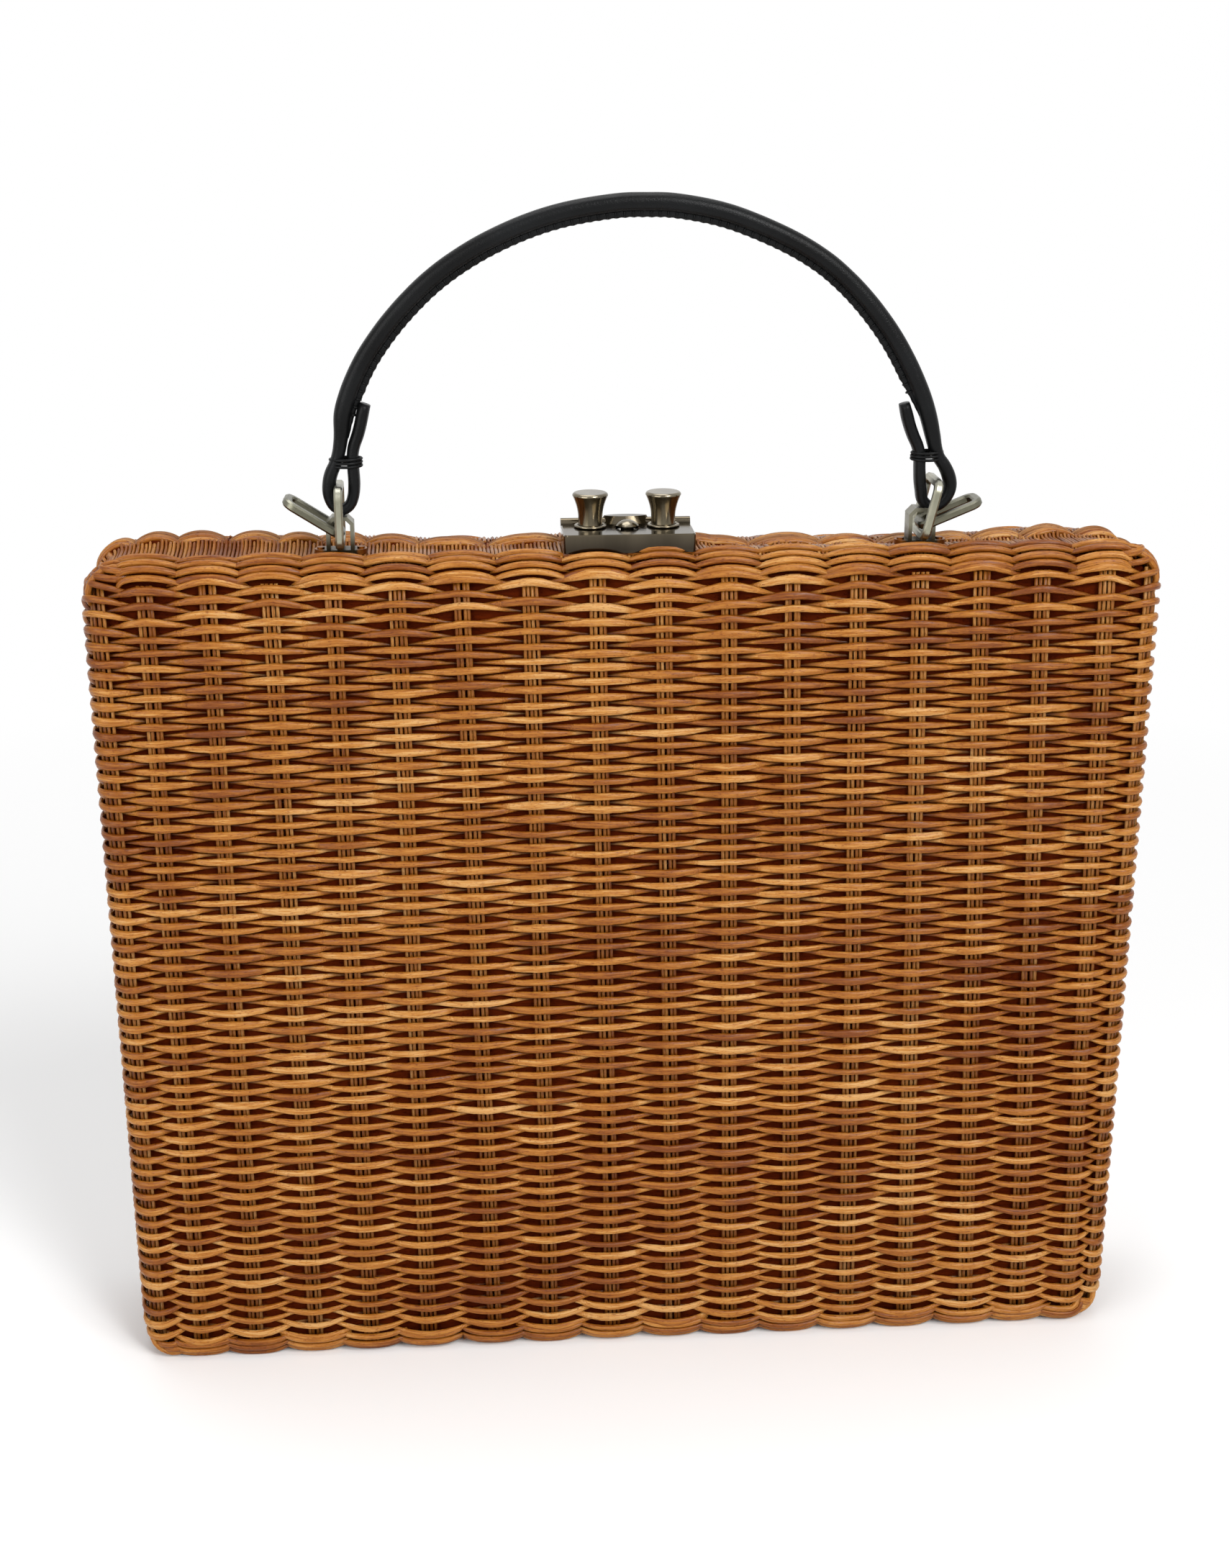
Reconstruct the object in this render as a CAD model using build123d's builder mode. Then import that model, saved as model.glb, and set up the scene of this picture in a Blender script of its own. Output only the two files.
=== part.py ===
from build123d import *
import os
from math import cos, radians, sin

# Woven rattan box bag: two shallow trays hinged along the bottom, closed at the top by a push clasp,
# with a leather handle and strap rings on two brackets. Millimetres, +Z up, the face looks along -Y.
# The origin is on the ground, under the middle of the bag, in the parting plane of the two trays.

os.makedirs("parts", exist_ok=True)

# Driving dimensions of the woven trays
BAG_WIDTH = 258.0
FOOT_WIDTH = 253.0
BAG_HEIGHT = 212.0
TRAY_DEPTH = 23.0
TOP_CORNER = 13.0
FOOT_CORNER = 11.0
WALL = 2.6
FACE_THICKNESS = 2.4
RIM_DEPTH = 3.0
RIM_OVERHANG = 0.8
STAKE_PITCH = 15.2
STAKE_ARCHES = 16
ARCH_RISE = 2.0
FLOAT_ROWS = 20
FLOAT_HALF_LENGTH = 8.9
FLOAT_RELIEF = 1.3
WEAVE_MARGIN = 1.5

# Borders round the two openings
BORDER_DEPTH = 4.0
BORDER_RISE = 1.5
BORDER_SIDE = 1.2
BORDER_THICKNESS = 4.4
BORDER_FOOT = 1.8
PARTING_GAP = 0.3

# Rear fall of the back tray
LEVEL_DEPTH = 12.0
BACK_FALL = 2.6
BACK_NARROWING = 2.0
BACK_RIM_FALL = 3.8

# Bottom hinges
HINGE_SPACING = 150.0
HINGE_LENGTH = 24.0
HINGE_FLANGE = 36.0
HINGE_FLANGE_LOW = 0.3
HINGE_FLANGE_HIGH = 2.5
HINGE_AXIS_Z = 1.6
HINGE_KNUCKLE_R = 1.4
HINGE_PIN_R = 0.6
HINGE_SHEET = 0.8
HINGE_SCREW_Z = 1.4
RUNNING_CLEARANCE = 0.05
KNUCKLE_GAP = 0.2
NOTCH_CLEARANCE = 0.3

# Small screws and rivets
SCREW_R = 0.5
SCREW_HEAD_R = 0.9
SCREW_HEAD = 0.4
SCREW_LENGTH = 2.4
SCREW_FIT = 0.02

# Clasp
CASE_WIDTH = 31.5
CASE_SETBACK = 3.7
CASE_SHEET = 0.8
CASE_TOP_RISE = 4.0
SKIRT_CLEARANCE = 0.4
CASE_CORNER = 1.0
CASE_EDGE = 0.3
ROD_SETBACK = 0.75
ROD_TO_CASE = 1.4
ROD_ABOVE_CASE = 0.1
ROD_R = 0.6
KNUCKLE_R = 1.2
OUTER_KNUCKLE = 4.9
BASE_KNUCKLE = 4.0
BASE_SHEET = 0.8
BASE_CLEARANCE = 0.75
BASE_SCREW_INSET = 2.0
KNOB_SPACING = 17.6
KNOB_TO_REAR = 3.1
KNOB_CLEARANCE = 0.15
KNOB_HEIGHT = 8.25
KNOB_TOP_R = 4.3
KNOB_LIP = 0.7
KNOB_WAIST_R = 3.0
KNOB_WAIST_RISE = 3.3
KNOB_BASE_R = 2.95
KNOB_NECK_R = 1.3
KNOB_RIVET_R = 0.8
KNOB_TRAVEL = 2.3
SLIDER_SHEET = 1.0
SLIDER_NOSE = 4.0
SLIDER_NOSE_R = 1.4
SLIDER_STOP = 0.35
SLIDER_WIDTH = 5.6
PLAY = 0.2
STUD_TO_REAR = 4.5
STUD_HEAD_R = 2.75
STUD_NECK_R = 1.6
STUD_SHANK_R = 1.1
STUD_ABOVE_CASE = 1.9
STUD_HEAD = 1.3
OPENING_WIDTH = 6.5
OPENING_FRONT = 3.8
OPENING_REAR = 3.2
PAD_WIDTH = 12.4
PAD_HEIGHT = 1.8
PAD_OVERHANG = 2.5
PAD_SETBACK = 0.3
PAD_TAPER = 30.0
TONGUE_WIDTH = 7.2
TONGUE_SHEET = 0.8
TONGUE_CLEARANCE = 0.25
TONGUE_TIP = 3.6
TONGUE_HEEL = 0.4
TONGUE_FOOT = 7.0
TONGUE_FOOT_WIDTH = 13.0
TONGUE_RIVETS = 8.6
WIRE = 0.8
CATCH_PLAY = 0.1
CATCH_REAR = 2.9
CATCH_FRONT = 2.6

# Handle brackets and rings
BRACKET_SPACING = 139.6
BRACKET_SHIFT = 1.3
BRACKET_WIDTH = 6.6
BRACKET_RISE = 8.3
BRACKET_DEPTH = 5.0
BRACKET_SHEET = 0.9
BRACKET_CHAMFER = 1.5
BRACKET_BASE = 1.2
BRACKET_FOOT = 12.4
RING_SECTION = 2.0
RING_EDGE = 0.45
RING_CORNER = 3.2
HANDLE_RING_WIDTH = 14.6
HANDLE_RING_REACH = 13.2
HANDLE_PIVOT_RISE = 1.8
RIGHT_RING_LEAN = 13.0
STRAP_RING_WIDTH = 10.0
STRAP_RING_REACH = 14.4
STRAP_PIVOT_RISE = 4.25
LEFT_STRAP_ANGLE = 32.7
RIGHT_STRAP_ANGLE = 22.2

# Leather handle, heights above the top of the trays
CROWN_OUTER = 82.6
CROWN_INNER = 77.0
SHOULDER_OUTER = (38.5, 74.2)
SHOULDER_INNER = (35.7, 69.8)
ELBOW_OUTER = (64.6, 52.5)
ELBOW_INNER = (58.4, 52.5)
SIDE_RISE = 33.0
SIDE_OUTER = 1.4
SIDE_INNER = 2.8
NECK_RISE = 22.0
NECK_WIDTH = 6.6
NECK_SEAT = 0.2
HANDLE_DEPTH = 6.4
HANDLE_BEVEL = 1.2
LOOP_WIDTH = 9.9
LOOP_BOTTOM = 9.2
LOOP_DEPTH = 5.2
LOOP_LEATHER = 2.6
LOOP_CLEARANCE = 0.4
TAIL_ROOT = 1.9
TAIL_REACH = 6.4
TAIL_RISE = 36.0
TAIL_THICKNESS = 2.9

# Derived places
TOP = BAG_HEIGHT
STRIP = TOP - RIM_OVERHANG
HALF_GAP = PARTING_GAP / 2
BORDER_END = HALF_GAP + BORDER_DEPTH
BRACKET_Y = -(TRAY_DEPTH - RIM_DEPTH + BORDER_END) / 2
FOOT_SCALE = FOOT_WIDTH / BAG_WIDTH
FLOAT_SHOULDER = STAKE_PITCH - FLOAT_HALF_LENGTH
HINGE_XS = (-HINGE_SPACING / 2, HINGE_SPACING / 2)
HINGE_SCREW_X = (HINGE_LENGTH + HINGE_FLANGE) / 4
CASE_TOP = TOP + CASE_TOP_RISE
CASE_UNDER = CASE_TOP - CASE_SHEET
CASE_FRONT_Y = CASE_SETBACK - TRAY_DEPTH
ROD_Y = -(BORDER_END + ROD_SETBACK)
ROD_Z = CASE_TOP + ROD_ABOVE_CASE
CASE_REAR_Y = ROD_Y - ROD_TO_CASE
KNOB_X = KNOB_SPACING / 2
KNOB_Y = CASE_REAR_Y - KNOB_TO_REAR
KNOB_FOOT = CASE_TOP + KNOB_CLEARANCE
KNOB_HEAD = KNOB_FOOT + KNOB_HEIGHT
STUD_Y = CASE_REAR_Y - STUD_TO_REAR
STUD_TOP = CASE_TOP + STUD_ABOVE_CASE
SLIDER_TOP = CASE_UNDER - PLAY
ARCH_SHARE = 1 - TONGUE_WIDTH / STAKE_PITCH
TONGUE_UNDER = TOP + BORDER_RISE - ARCH_RISE * ARCH_SHARE**2 + TONGUE_CLEARANCE
TONGUE_TOP = TONGUE_UNDER + TONGUE_SHEET
LEFT_X = BRACKET_SHIFT - BRACKET_SPACING / 2
RIGHT_X = BRACKET_SHIFT + BRACKET_SPACING / 2


def section(y):
    """Upright plane across the bag at depth y, X to the right and Z up."""
    return Plane(origin=(0, y, 0), x_dir=(1, 0, 0), z_dir=(0, -1, 0))


def profile(x):
    """Upright plane along the depth of the bag at x, Y to the right and Z up."""
    return Plane(origin=(x, 0, 0), x_dir=(0, 1, 0), z_dir=(1, 0, 0))


def level(z):
    """Horizontal plane at height z."""
    return Plane.XY.offset(z)


def woven_outline(y, top, foot, half_top, half_foot, top_arches=0.0, foot_arches=0.0):
    """Outline of a tray: an arch over each stake along the top and under each one along the foot."""
    reach = STAKE_PITCH * STAKE_ARCHES / 2
    foot_reach = reach * FOOT_SCALE
    foot_pitch = STAKE_PITCH * FOOT_SCALE
    top_valley = top - top_arches
    foot_valley = foot + foot_arches
    shoulder = TOP_CORNER - ARCH_RISE
    ankle = FOOT_CORNER - ARCH_RISE
    bend = 1 - sin(radians(45))
    with BuildSketch(section(y)) as outline:
        with BuildLine():
            if top_arches > 0:
                for i in range(STAKE_ARCHES):
                    x = i * STAKE_PITCH - reach
                    middle = (x + STAKE_PITCH / 2, top)
                    ThreePointArc((x, top_valley), middle, (x + STAKE_PITCH, top_valley))
            else:
                Line((-reach, top), (reach, top))
            for side in (1, -1):
                run = half_top - reach
                foot_run = half_foot - foot_reach
                ThreePointArc(
                    (side * reach, top_valley),
                    (side * (half_top - run * bend), top_valley - shoulder * bend),
                    (side * half_top, top_valley - shoulder),
                )
                Line((side * half_top, top_valley - shoulder), (side * half_foot, foot_valley + ankle))
                ThreePointArc(
                    (side * half_foot, foot_valley + ankle),
                    (side * (half_foot - foot_run * bend), foot_valley + ankle * bend),
                    (side * foot_reach, foot_valley),
                )
            if foot_arches > 0:
                for i in range(STAKE_ARCHES):
                    x = i * foot_pitch - foot_reach
                    middle = (x + foot_pitch / 2, foot)
                    ThreePointArc((x, foot_valley), middle, (x + foot_pitch, foot_valley))
            else:
                Line((-foot_reach, foot), (foot_reach, foot))
        make_face()
    return outline.sketch


def rim_outline(y, fall=0.0):
    """Outline of the turned-over rows round a tray's face."""
    half_top = BAG_WIDTH / 2 - fall / 2
    half_foot = FOOT_WIDTH / 2 - fall / 2
    return woven_outline(y, TOP - fall, 0, half_top, half_foot, ARCH_RISE, ARCH_RISE)


def wall_outline(y, inset=0.0, fall=0.0, narrowing=0.0):
    """Plain outline of a tray's wall at depth y, set in from its outer face for the cavity."""
    half_top = BAG_WIDTH / 2 - RIM_OVERHANG / 2 - inset - narrowing
    half_foot = FOOT_WIDTH / 2 - RIM_OVERHANG / 2 - inset - narrowing
    return woven_outline(y, STRIP - inset - fall, inset, half_top, half_foot)


def border_outlines(y):
    """Outer outline of a border with its arches, and the plain one inside it."""
    half_top = BAG_WIDTH / 2 + BORDER_SIDE - RIM_OVERHANG / 2
    half_foot = FOOT_WIDTH / 2 + BORDER_SIDE - RIM_OVERHANG / 2
    rise = TOP + BORDER_RISE
    outer = woven_outline(y, rise, BORDER_FOOT, half_top, half_foot, ARCH_RISE)
    inner = woven_outline(
        y,
        STRIP - WALL,
        BORDER_FOOT + BORDER_THICKNESS,
        half_top - BORDER_THICKNESS,
        half_foot - BORDER_THICKNESS,
    )
    return outer, inner


def weave_float(y, outward, height):
    """One float of the weave: a spindle over a stake, pointed at both ends."""
    corners = [
        (-FLOAT_HALF_LENGTH, 0),
        (-FLOAT_SHOULDER, -height / 2),
        (FLOAT_SHOULDER, -height / 2),
        (FLOAT_HALF_LENGTH, 0),
        (FLOAT_SHOULDER, height / 2),
        (-FLOAT_SHOULDER, height / 2),
    ]
    with BuildSketch(section(y)) as base:
        Polygon(*corners)
    with BuildPart() as form:
        loft(sections=[base.sketch.faces()[0], Vertex(0, y + outward * FLOAT_RELIEF, 0)])
    return form.part


def weave_places(low, height):
    """Where the floats lie: one column over each stake, every second column half a row up."""
    places = []
    for column in range(STAKE_ARCHES):
        x = (column - (STAKE_ARCHES - 1) / 2) * STAKE_PITCH * (1 + FOOT_SCALE) / 2
        odd = column % 2
        for row in range(FLOAT_ROWS - odd):
            places.append((x, 0, low + (row + 0.5 + odd / 2) * height))
    return places


def screws(plane, places):
    """Small screws or rivets: a flat round head on the plane and a shank below it."""
    with BuildPart() as group:
        with BuildSketch(plane):
            with Locations(*places):
                Circle(SCREW_HEAD_R)
        extrude(amount=SCREW_HEAD)
        with BuildSketch(plane):
            with Locations(*places):
                Circle(SCREW_R)
        extrude(amount=-SCREW_LENGTH)
    return group.part


def screw_holes(plane, places):
    """The holes that those screws need, a little wider and deeper than their shanks."""
    with BuildPart() as holes:
        with BuildSketch(plane):
            with Locations(*places):
                Circle(SCREW_R + SCREW_FIT)
        extrude(amount=-(SCREW_LENGTH + SCREW_FIT))
    return holes.part


# Places of the small screws, each a plane and points on it
HINGE_POINTS = []
for hinge_x in HINGE_XS:
    for screw_side in (-1, 1):
        HINGE_POINTS.append((hinge_x + screw_side * HINGE_SCREW_X, HINGE_SCREW_Z))
FRONT_HINGE_PLANE = Plane(
    origin=(0, -BORDER_END + HINGE_SHEET, 0), x_dir=(-1, 0, 0), z_dir=(0, 1, 0)
)
BACK_HINGE_PLANE = section(BORDER_END - HINGE_SHEET)
BASE_PLANE = level(STRIP + BASE_SHEET)
BASE_HALF = CASE_WIDTH / 2 - CASE_SHEET - BASE_CLEARANCE
BASE_FRONT_Y = CASE_FRONT_Y + CASE_SHEET + BASE_CLEARANCE
BASE_REAR_Y = ROD_Y + BASE_SHEET / 2
BASE_POINTS = []
for screw_side in (-1, 1):
    screw_x = screw_side * (BASE_HALF - BASE_SCREW_INSET)
    BASE_POINTS.append((screw_x, BASE_FRONT_Y + BASE_SCREW_INSET))
    BASE_POINTS.append((screw_x, BASE_REAR_Y - BASE_SCREW_INSET))
HEEL_Y = BORDER_END + TONGUE_HEEL
FOOT_PLANE = level(STRIP + TONGUE_SHEET)
TONGUE_POINTS = []
for screw_side in (-1, 1):
    TONGUE_POINTS.append((screw_side * TONGUE_RIVETS / 2, HEEL_Y + TONGUE_FOOT / 2))
BRACKET_PLANE = level(STRIP + BRACKET_BASE)
BRACKET_RIVET = (BRACKET_WIDTH + BRACKET_FOOT) / 4
BRACKET_POINTS = []
for bracket_x in (LEFT_X, RIGHT_X):
    for screw_side in (-1, 1):
        BRACKET_POINTS.append((bracket_x + screw_side * BRACKET_RIVET, BRACKET_Y))

front_hinge_holes = screw_holes(FRONT_HINGE_PLANE, HINGE_POINTS)
back_hinge_holes = screw_holes(BACK_HINGE_PLANE, HINGE_POINTS)
base_holes = screw_holes(BASE_PLANE, BASE_POINTS)
tongue_holes = screw_holes(FOOT_PLANE, TONGUE_POINTS)
bracket_holes = screw_holes(BRACKET_PLANE, BRACKET_POINTS)

# Weave of the two faces
FIELD_LOW = ARCH_RISE + WEAVE_MARGIN
FRONT_FLOAT = (TOP - 2 * FIELD_LOW) / FLOAT_ROWS
BACK_FLOAT = (TOP - BACK_RIM_FALL - 2 * FIELD_LOW) / FLOAT_ROWS
front_float = weave_float(-TRAY_DEPTH, -1, FRONT_FLOAT)
back_float = weave_float(TRAY_DEPTH, 1, BACK_FLOAT)

# Front tray: rows turned over round the face, a plain wall behind them, and the woven face
front_rim = rim_outline(-TRAY_DEPTH)
front_wall = wall_outline(-TRAY_DEPTH + RIM_DEPTH)
front_cavity = wall_outline(-TRAY_DEPTH + FACE_THICKNESS, WALL)
with BuildPart() as front_tray:
    extrude(front_rim, amount=-RIM_DEPTH)
    extrude(front_wall, amount=-(TRAY_DEPTH - RIM_DEPTH - BORDER_END))
    extrude(front_cavity, amount=-TRAY_DEPTH, mode=Mode.SUBTRACT)
    add(front_hinge_holes, mode=Mode.SUBTRACT)
    add(base_holes, mode=Mode.SUBTRACT)
    add(bracket_holes, mode=Mode.SUBTRACT)
    with Locations(*weave_places(FIELD_LOW, FRONT_FLOAT)):
        add(front_float)
front_tray.part.label = "front_tray"
export_step(front_tray.part, "parts/front_tray.step")

# Back tray: level behind the border, then falling to its face
back_level = wall_outline(LEVEL_DEPTH)
back_fall_start = wall_outline(LEVEL_DEPTH)
back_fall_end = wall_outline(TRAY_DEPTH - RIM_DEPTH, 0, BACK_FALL, BACK_NARROWING)
back_rim = rim_outline(TRAY_DEPTH, BACK_RIM_FALL)
cavity_mouth = wall_outline(BORDER_END, WALL)
cavity_end = wall_outline(TRAY_DEPTH - FACE_THICKNESS, WALL, BACK_FALL, BACK_NARROWING)
with BuildPart() as back_tray:
    extrude(back_level, amount=LEVEL_DEPTH - BORDER_END)
    loft(sections=[back_fall_start.faces()[0], back_fall_end.faces()[0]])
    extrude(back_rim, amount=RIM_DEPTH)
    loft(sections=[cavity_mouth.faces()[0], cavity_end.faces()[0]], mode=Mode.SUBTRACT)
    add(back_hinge_holes, mode=Mode.SUBTRACT)
    add(tongue_holes, mode=Mode.SUBTRACT)
    with Locations(*weave_places(FIELD_LOW, BACK_FLOAT)):
        add(back_float)
back_tray.part.label = "back_tray"
export_step(back_tray.part, "parts/back_tray.step")

# Borders: arched ropes round the openings, notched over the hinges
NOTCH_TOP = HINGE_AXIS_Z + HINGE_KNUCKLE_R + NOTCH_CLEARANCE
NOTCH_LENGTH = HINGE_FLANGE + 2 * NOTCH_CLEARANCE
for name, y, amount in (("front_border", -HALF_GAP, 1), ("back_border", HALF_GAP, -1)):
    border_outer, border_inner = border_outlines(y)
    with BuildPart() as border:
        extrude(border_outer, amount=amount * BORDER_DEPTH)
        extrude(border_inner, amount=amount * BORDER_DEPTH, mode=Mode.SUBTRACT)
        with BuildSketch(section(y)):
            with Locations(*[(hinge_x, NOTCH_TOP / 2) for hinge_x in HINGE_XS]):
                Rectangle(NOTCH_LENGTH, NOTCH_TOP)
        extrude(amount=amount * BORDER_DEPTH, mode=Mode.SUBTRACT)
    border.part.label = name
    export_step(border.part, f"parts/{name}.step")

# Bottom hinges: two outer knuckles on the front leaf, the middle one on the back leaf, and the pin
OUTER_SPAN = HINGE_LENGTH / 3
FLANGE_HEIGHT = HINGE_FLANGE_HIGH - HINGE_FLANGE_LOW
for hinge_name, hinge_x in zip(("left", "right"), HINGE_XS):
    low_x = hinge_x - HINGE_LENGTH / 2
    spans = {
        "front": [(low_x, OUTER_SPAN), (low_x + 2 * OUTER_SPAN, OUTER_SPAN)],
        "back": [(low_x + OUTER_SPAN + KNUCKLE_GAP, OUTER_SPAN - 2 * KNUCKLE_GAP)],
    }
    for leaf_name, direction, holes in (("front", -1, front_hinge_holes), ("back", 1, back_hinge_holes)):
        flange_y = direction * (BORDER_END - HINGE_SHEET / 2)
        with BuildPart() as leaf:
            with BuildSketch(profile(hinge_x - HINGE_FLANGE / 2)):
                with Locations((flange_y, HINGE_FLANGE_LOW + FLANGE_HEIGHT / 2)):
                    Rectangle(HINGE_SHEET, FLANGE_HEIGHT)
            extrude(amount=HINGE_FLANGE)
            for start, length in spans[leaf_name]:
                with BuildSketch(profile(start)):
                    with Locations((flange_y / 2, HINGE_AXIS_Z)):
                        Rectangle(abs(flange_y), HINGE_SHEET)
                    with Locations((0, HINGE_AXIS_Z)):
                        Circle(HINGE_KNUCKLE_R)
                        Circle(HINGE_PIN_R + RUNNING_CLEARANCE, mode=Mode.SUBTRACT)
                extrude(amount=length)
            add(holes, mode=Mode.SUBTRACT)
        leaf_label = f"{hinge_name}_hinge_{leaf_name}_leaf"
        leaf.part.label = leaf_label
        export_step(leaf.part, f"parts/{leaf_label}.step")
    with BuildPart() as hinge_pin:
        with BuildSketch(profile(low_x)):
            with Locations((0, HINGE_AXIS_Z)):
                Circle(HINGE_PIN_R)
        extrude(amount=HINGE_LENGTH)
    hinge_pin.part.label = f"{hinge_name}_hinge_pin"
    export_step(hinge_pin.part, f"parts/{hinge_name}_hinge_pin.step")

# Screws and rivets, one node for each place
for name, plane, places in (
    ("front_hinge_screws", FRONT_HINGE_PLANE, HINGE_POINTS),
    ("back_hinge_screws", BACK_HINGE_PLANE, HINGE_POINTS),
    ("clasp_base_screws", BASE_PLANE, BASE_POINTS),
    ("tongue_rivets", FOOT_PLANE, TONGUE_POINTS),
    ("bracket_rivets", BRACKET_PLANE, BRACKET_POINTS),
):
    fastener_group = screws(plane, places)
    fastener_group.label = name
    export_step(fastener_group, f"parts/{name}.step")

# Clasp base: plate on the front tray with two knuckles standing at its rear
BASE_KNUCKLE_END = CASE_WIDTH / 2 - OUTER_KNUCKLE - KNUCKLE_GAP
BASE_SPANS = (-BASE_KNUCKLE_END, BASE_KNUCKLE_END - BASE_KNUCKLE)
with BuildPart() as clasp_base:
    with BuildSketch(level(STRIP)):
        with Locations((0, (BASE_FRONT_Y + BASE_REAR_Y) / 2)):
            Rectangle(2 * BASE_HALF, BASE_REAR_Y - BASE_FRONT_Y)
    extrude(amount=BASE_SHEET)
    for start in BASE_SPANS:
        with BuildSketch(profile(start)):
            with Locations((ROD_Y, (STRIP + ROD_Z) / 2)):
                Rectangle(BASE_SHEET, ROD_Z - STRIP)
            with Locations((ROD_Y, ROD_Z)):
                Circle(KNUCKLE_R)
                Circle(ROD_R + RUNNING_CLEARANCE, mode=Mode.SUBTRACT)
        extrude(amount=BASE_KNUCKLE)
    add(base_holes, mode=Mode.SUBTRACT)
clasp_base.part.label = "clasp_base"
export_step(clasp_base.part, "parts/clasp_base.step")

# Clasp rod through all the knuckles
with BuildPart() as clasp_rod:
    with BuildSketch(profile(-CASE_WIDTH / 2)):
        with Locations((ROD_Y, ROD_Z)):
            Circle(ROD_R)
    extrude(amount=CASE_WIDTH)
clasp_rod.part.label = "clasp_rod"
export_step(clasp_rod.part, "parts/clasp_rod.step")

# Clasp case: top plate with skirts on three sides, knuckles, thumb pad, knob slots and stud opening
CASE_DEPTH = CASE_REAR_Y - CASE_FRONT_Y
CASE_MIDDLE_Y = (CASE_REAR_Y + CASE_FRONT_Y) / 2
CENTRE_SPAN = 2 * (BASE_KNUCKLE_END - BASE_KNUCKLE - KNUCKLE_GAP)
CASE_SPANS = (
    (-CASE_WIDTH / 2, OUTER_KNUCKLE),
    (CASE_WIDTH / 2 - OUTER_KNUCKLE, OUTER_KNUCKLE),
    (-CENTRE_SPAN / 2, CENTRE_SPAN),
)
OPENING_REAR_Y = STUD_Y + OPENING_REAR
OPENING_DEPTH = OPENING_FRONT + OPENING_REAR
SLOT_LENGTH = 2 * KNOB_NECK_R + KNOB_TRAVEL + 2 * PLAY
PAD_REAR_Y = ROD_Y + PAD_OVERHANG
PAD_FRONT_Y = OPENING_REAR_Y + PAD_SETBACK
SKIRT_LOW = STRIP + SKIRT_CLEARANCE
with BuildPart() as clasp_case:
    with BuildSketch(level(SKIRT_LOW)) as case_footprint:
        with Locations((0, CASE_MIDDLE_Y)):
            Rectangle(CASE_WIDTH, CASE_DEPTH)
        fillet(case_footprint.vertices().group_by(Axis.Y)[0], CASE_CORNER)
    extrude(amount=CASE_TOP - SKIRT_LOW)
    case_edges = clasp_case.faces().sort_by(Axis.Z)[-1].edges().sort_by(Axis.Y)
    chamfer(case_edges[:-1], CASE_EDGE)
    with BuildSketch(level(SKIRT_LOW)):
        with Locations((0, CASE_MIDDLE_Y + CASE_SHEET)):
            Rectangle(CASE_WIDTH - 2 * CASE_SHEET, CASE_DEPTH)
    extrude(amount=CASE_UNDER - SKIRT_LOW, mode=Mode.SUBTRACT)
    for start, length in CASE_SPANS:
        with BuildSketch(profile(start)):
            with Locations(((CASE_REAR_Y + ROD_Y) / 2, CASE_TOP - CASE_SHEET / 2)):
                Rectangle(ROD_Y - CASE_REAR_Y, CASE_SHEET)
            with Locations((ROD_Y, ROD_Z)):
                Circle(KNUCKLE_R)
        extrude(amount=length)
    with BuildSketch(level(CASE_TOP)):
        with Locations((0, (PAD_FRONT_Y + PAD_REAR_Y) / 2)):
            Ellipse(PAD_WIDTH / 2, (PAD_REAR_Y - PAD_FRONT_Y) / 2)
    extrude(amount=PAD_HEIGHT, taper=PAD_TAPER)
    with BuildSketch(profile(-CASE_WIDTH / 2)):
        with Locations((ROD_Y, ROD_Z)):
            Circle(ROD_R + RUNNING_CLEARANCE)
    extrude(amount=CASE_WIDTH, mode=Mode.SUBTRACT)
    with BuildSketch(level(CASE_UNDER)):
        with Locations((0, OPENING_REAR_Y - OPENING_DEPTH / 2)):
            SlotOverall(OPENING_DEPTH, OPENING_WIDTH, rotation=90)
        for side in (-1, 1):
            with Locations((side * (KNOB_X + KNOB_TRAVEL / 2), KNOB_Y)):
                Rectangle(SLOT_LENGTH, 2 * (KNOB_NECK_R + PLAY))
    extrude(amount=CASE_SHEET, mode=Mode.SUBTRACT)
clasp_case.part.label = "clasp_case"
export_step(clasp_case.part, "parts/clasp_case.step")

# Knobs and the sliders under them
SLIDER_END = CASE_WIDTH / 2 - CASE_SHEET - KNOB_TRAVEL - SLIDER_STOP
SLIDER_LENGTH = SLIDER_END - SLIDER_NOSE
with BuildSketch() as knob_outline:
    with BuildLine():
        Polyline(
            (0, KNOB_HEAD),
            (0, SLIDER_TOP - SLIDER_SHEET),
            (KNOB_RIVET_R, SLIDER_TOP - SLIDER_SHEET),
            (KNOB_RIVET_R, SLIDER_TOP),
            (KNOB_NECK_R, SLIDER_TOP),
            (KNOB_NECK_R, KNOB_FOOT),
            (KNOB_BASE_R, KNOB_FOOT),
        )
        flare = ThreePointArc(
            (KNOB_BASE_R, KNOB_FOOT),
            (KNOB_WAIST_R, KNOB_FOOT + KNOB_WAIST_RISE),
            (KNOB_TOP_R, KNOB_HEAD - KNOB_LIP),
        )
        lip = TangentArc(flare @ 1, (KNOB_TOP_R - KNOB_LIP, KNOB_HEAD), tangent=(0, 1))
        Line(lip @ 1, (0, KNOB_HEAD))
    make_face()
knob_profile = knob_outline.sketch
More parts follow.
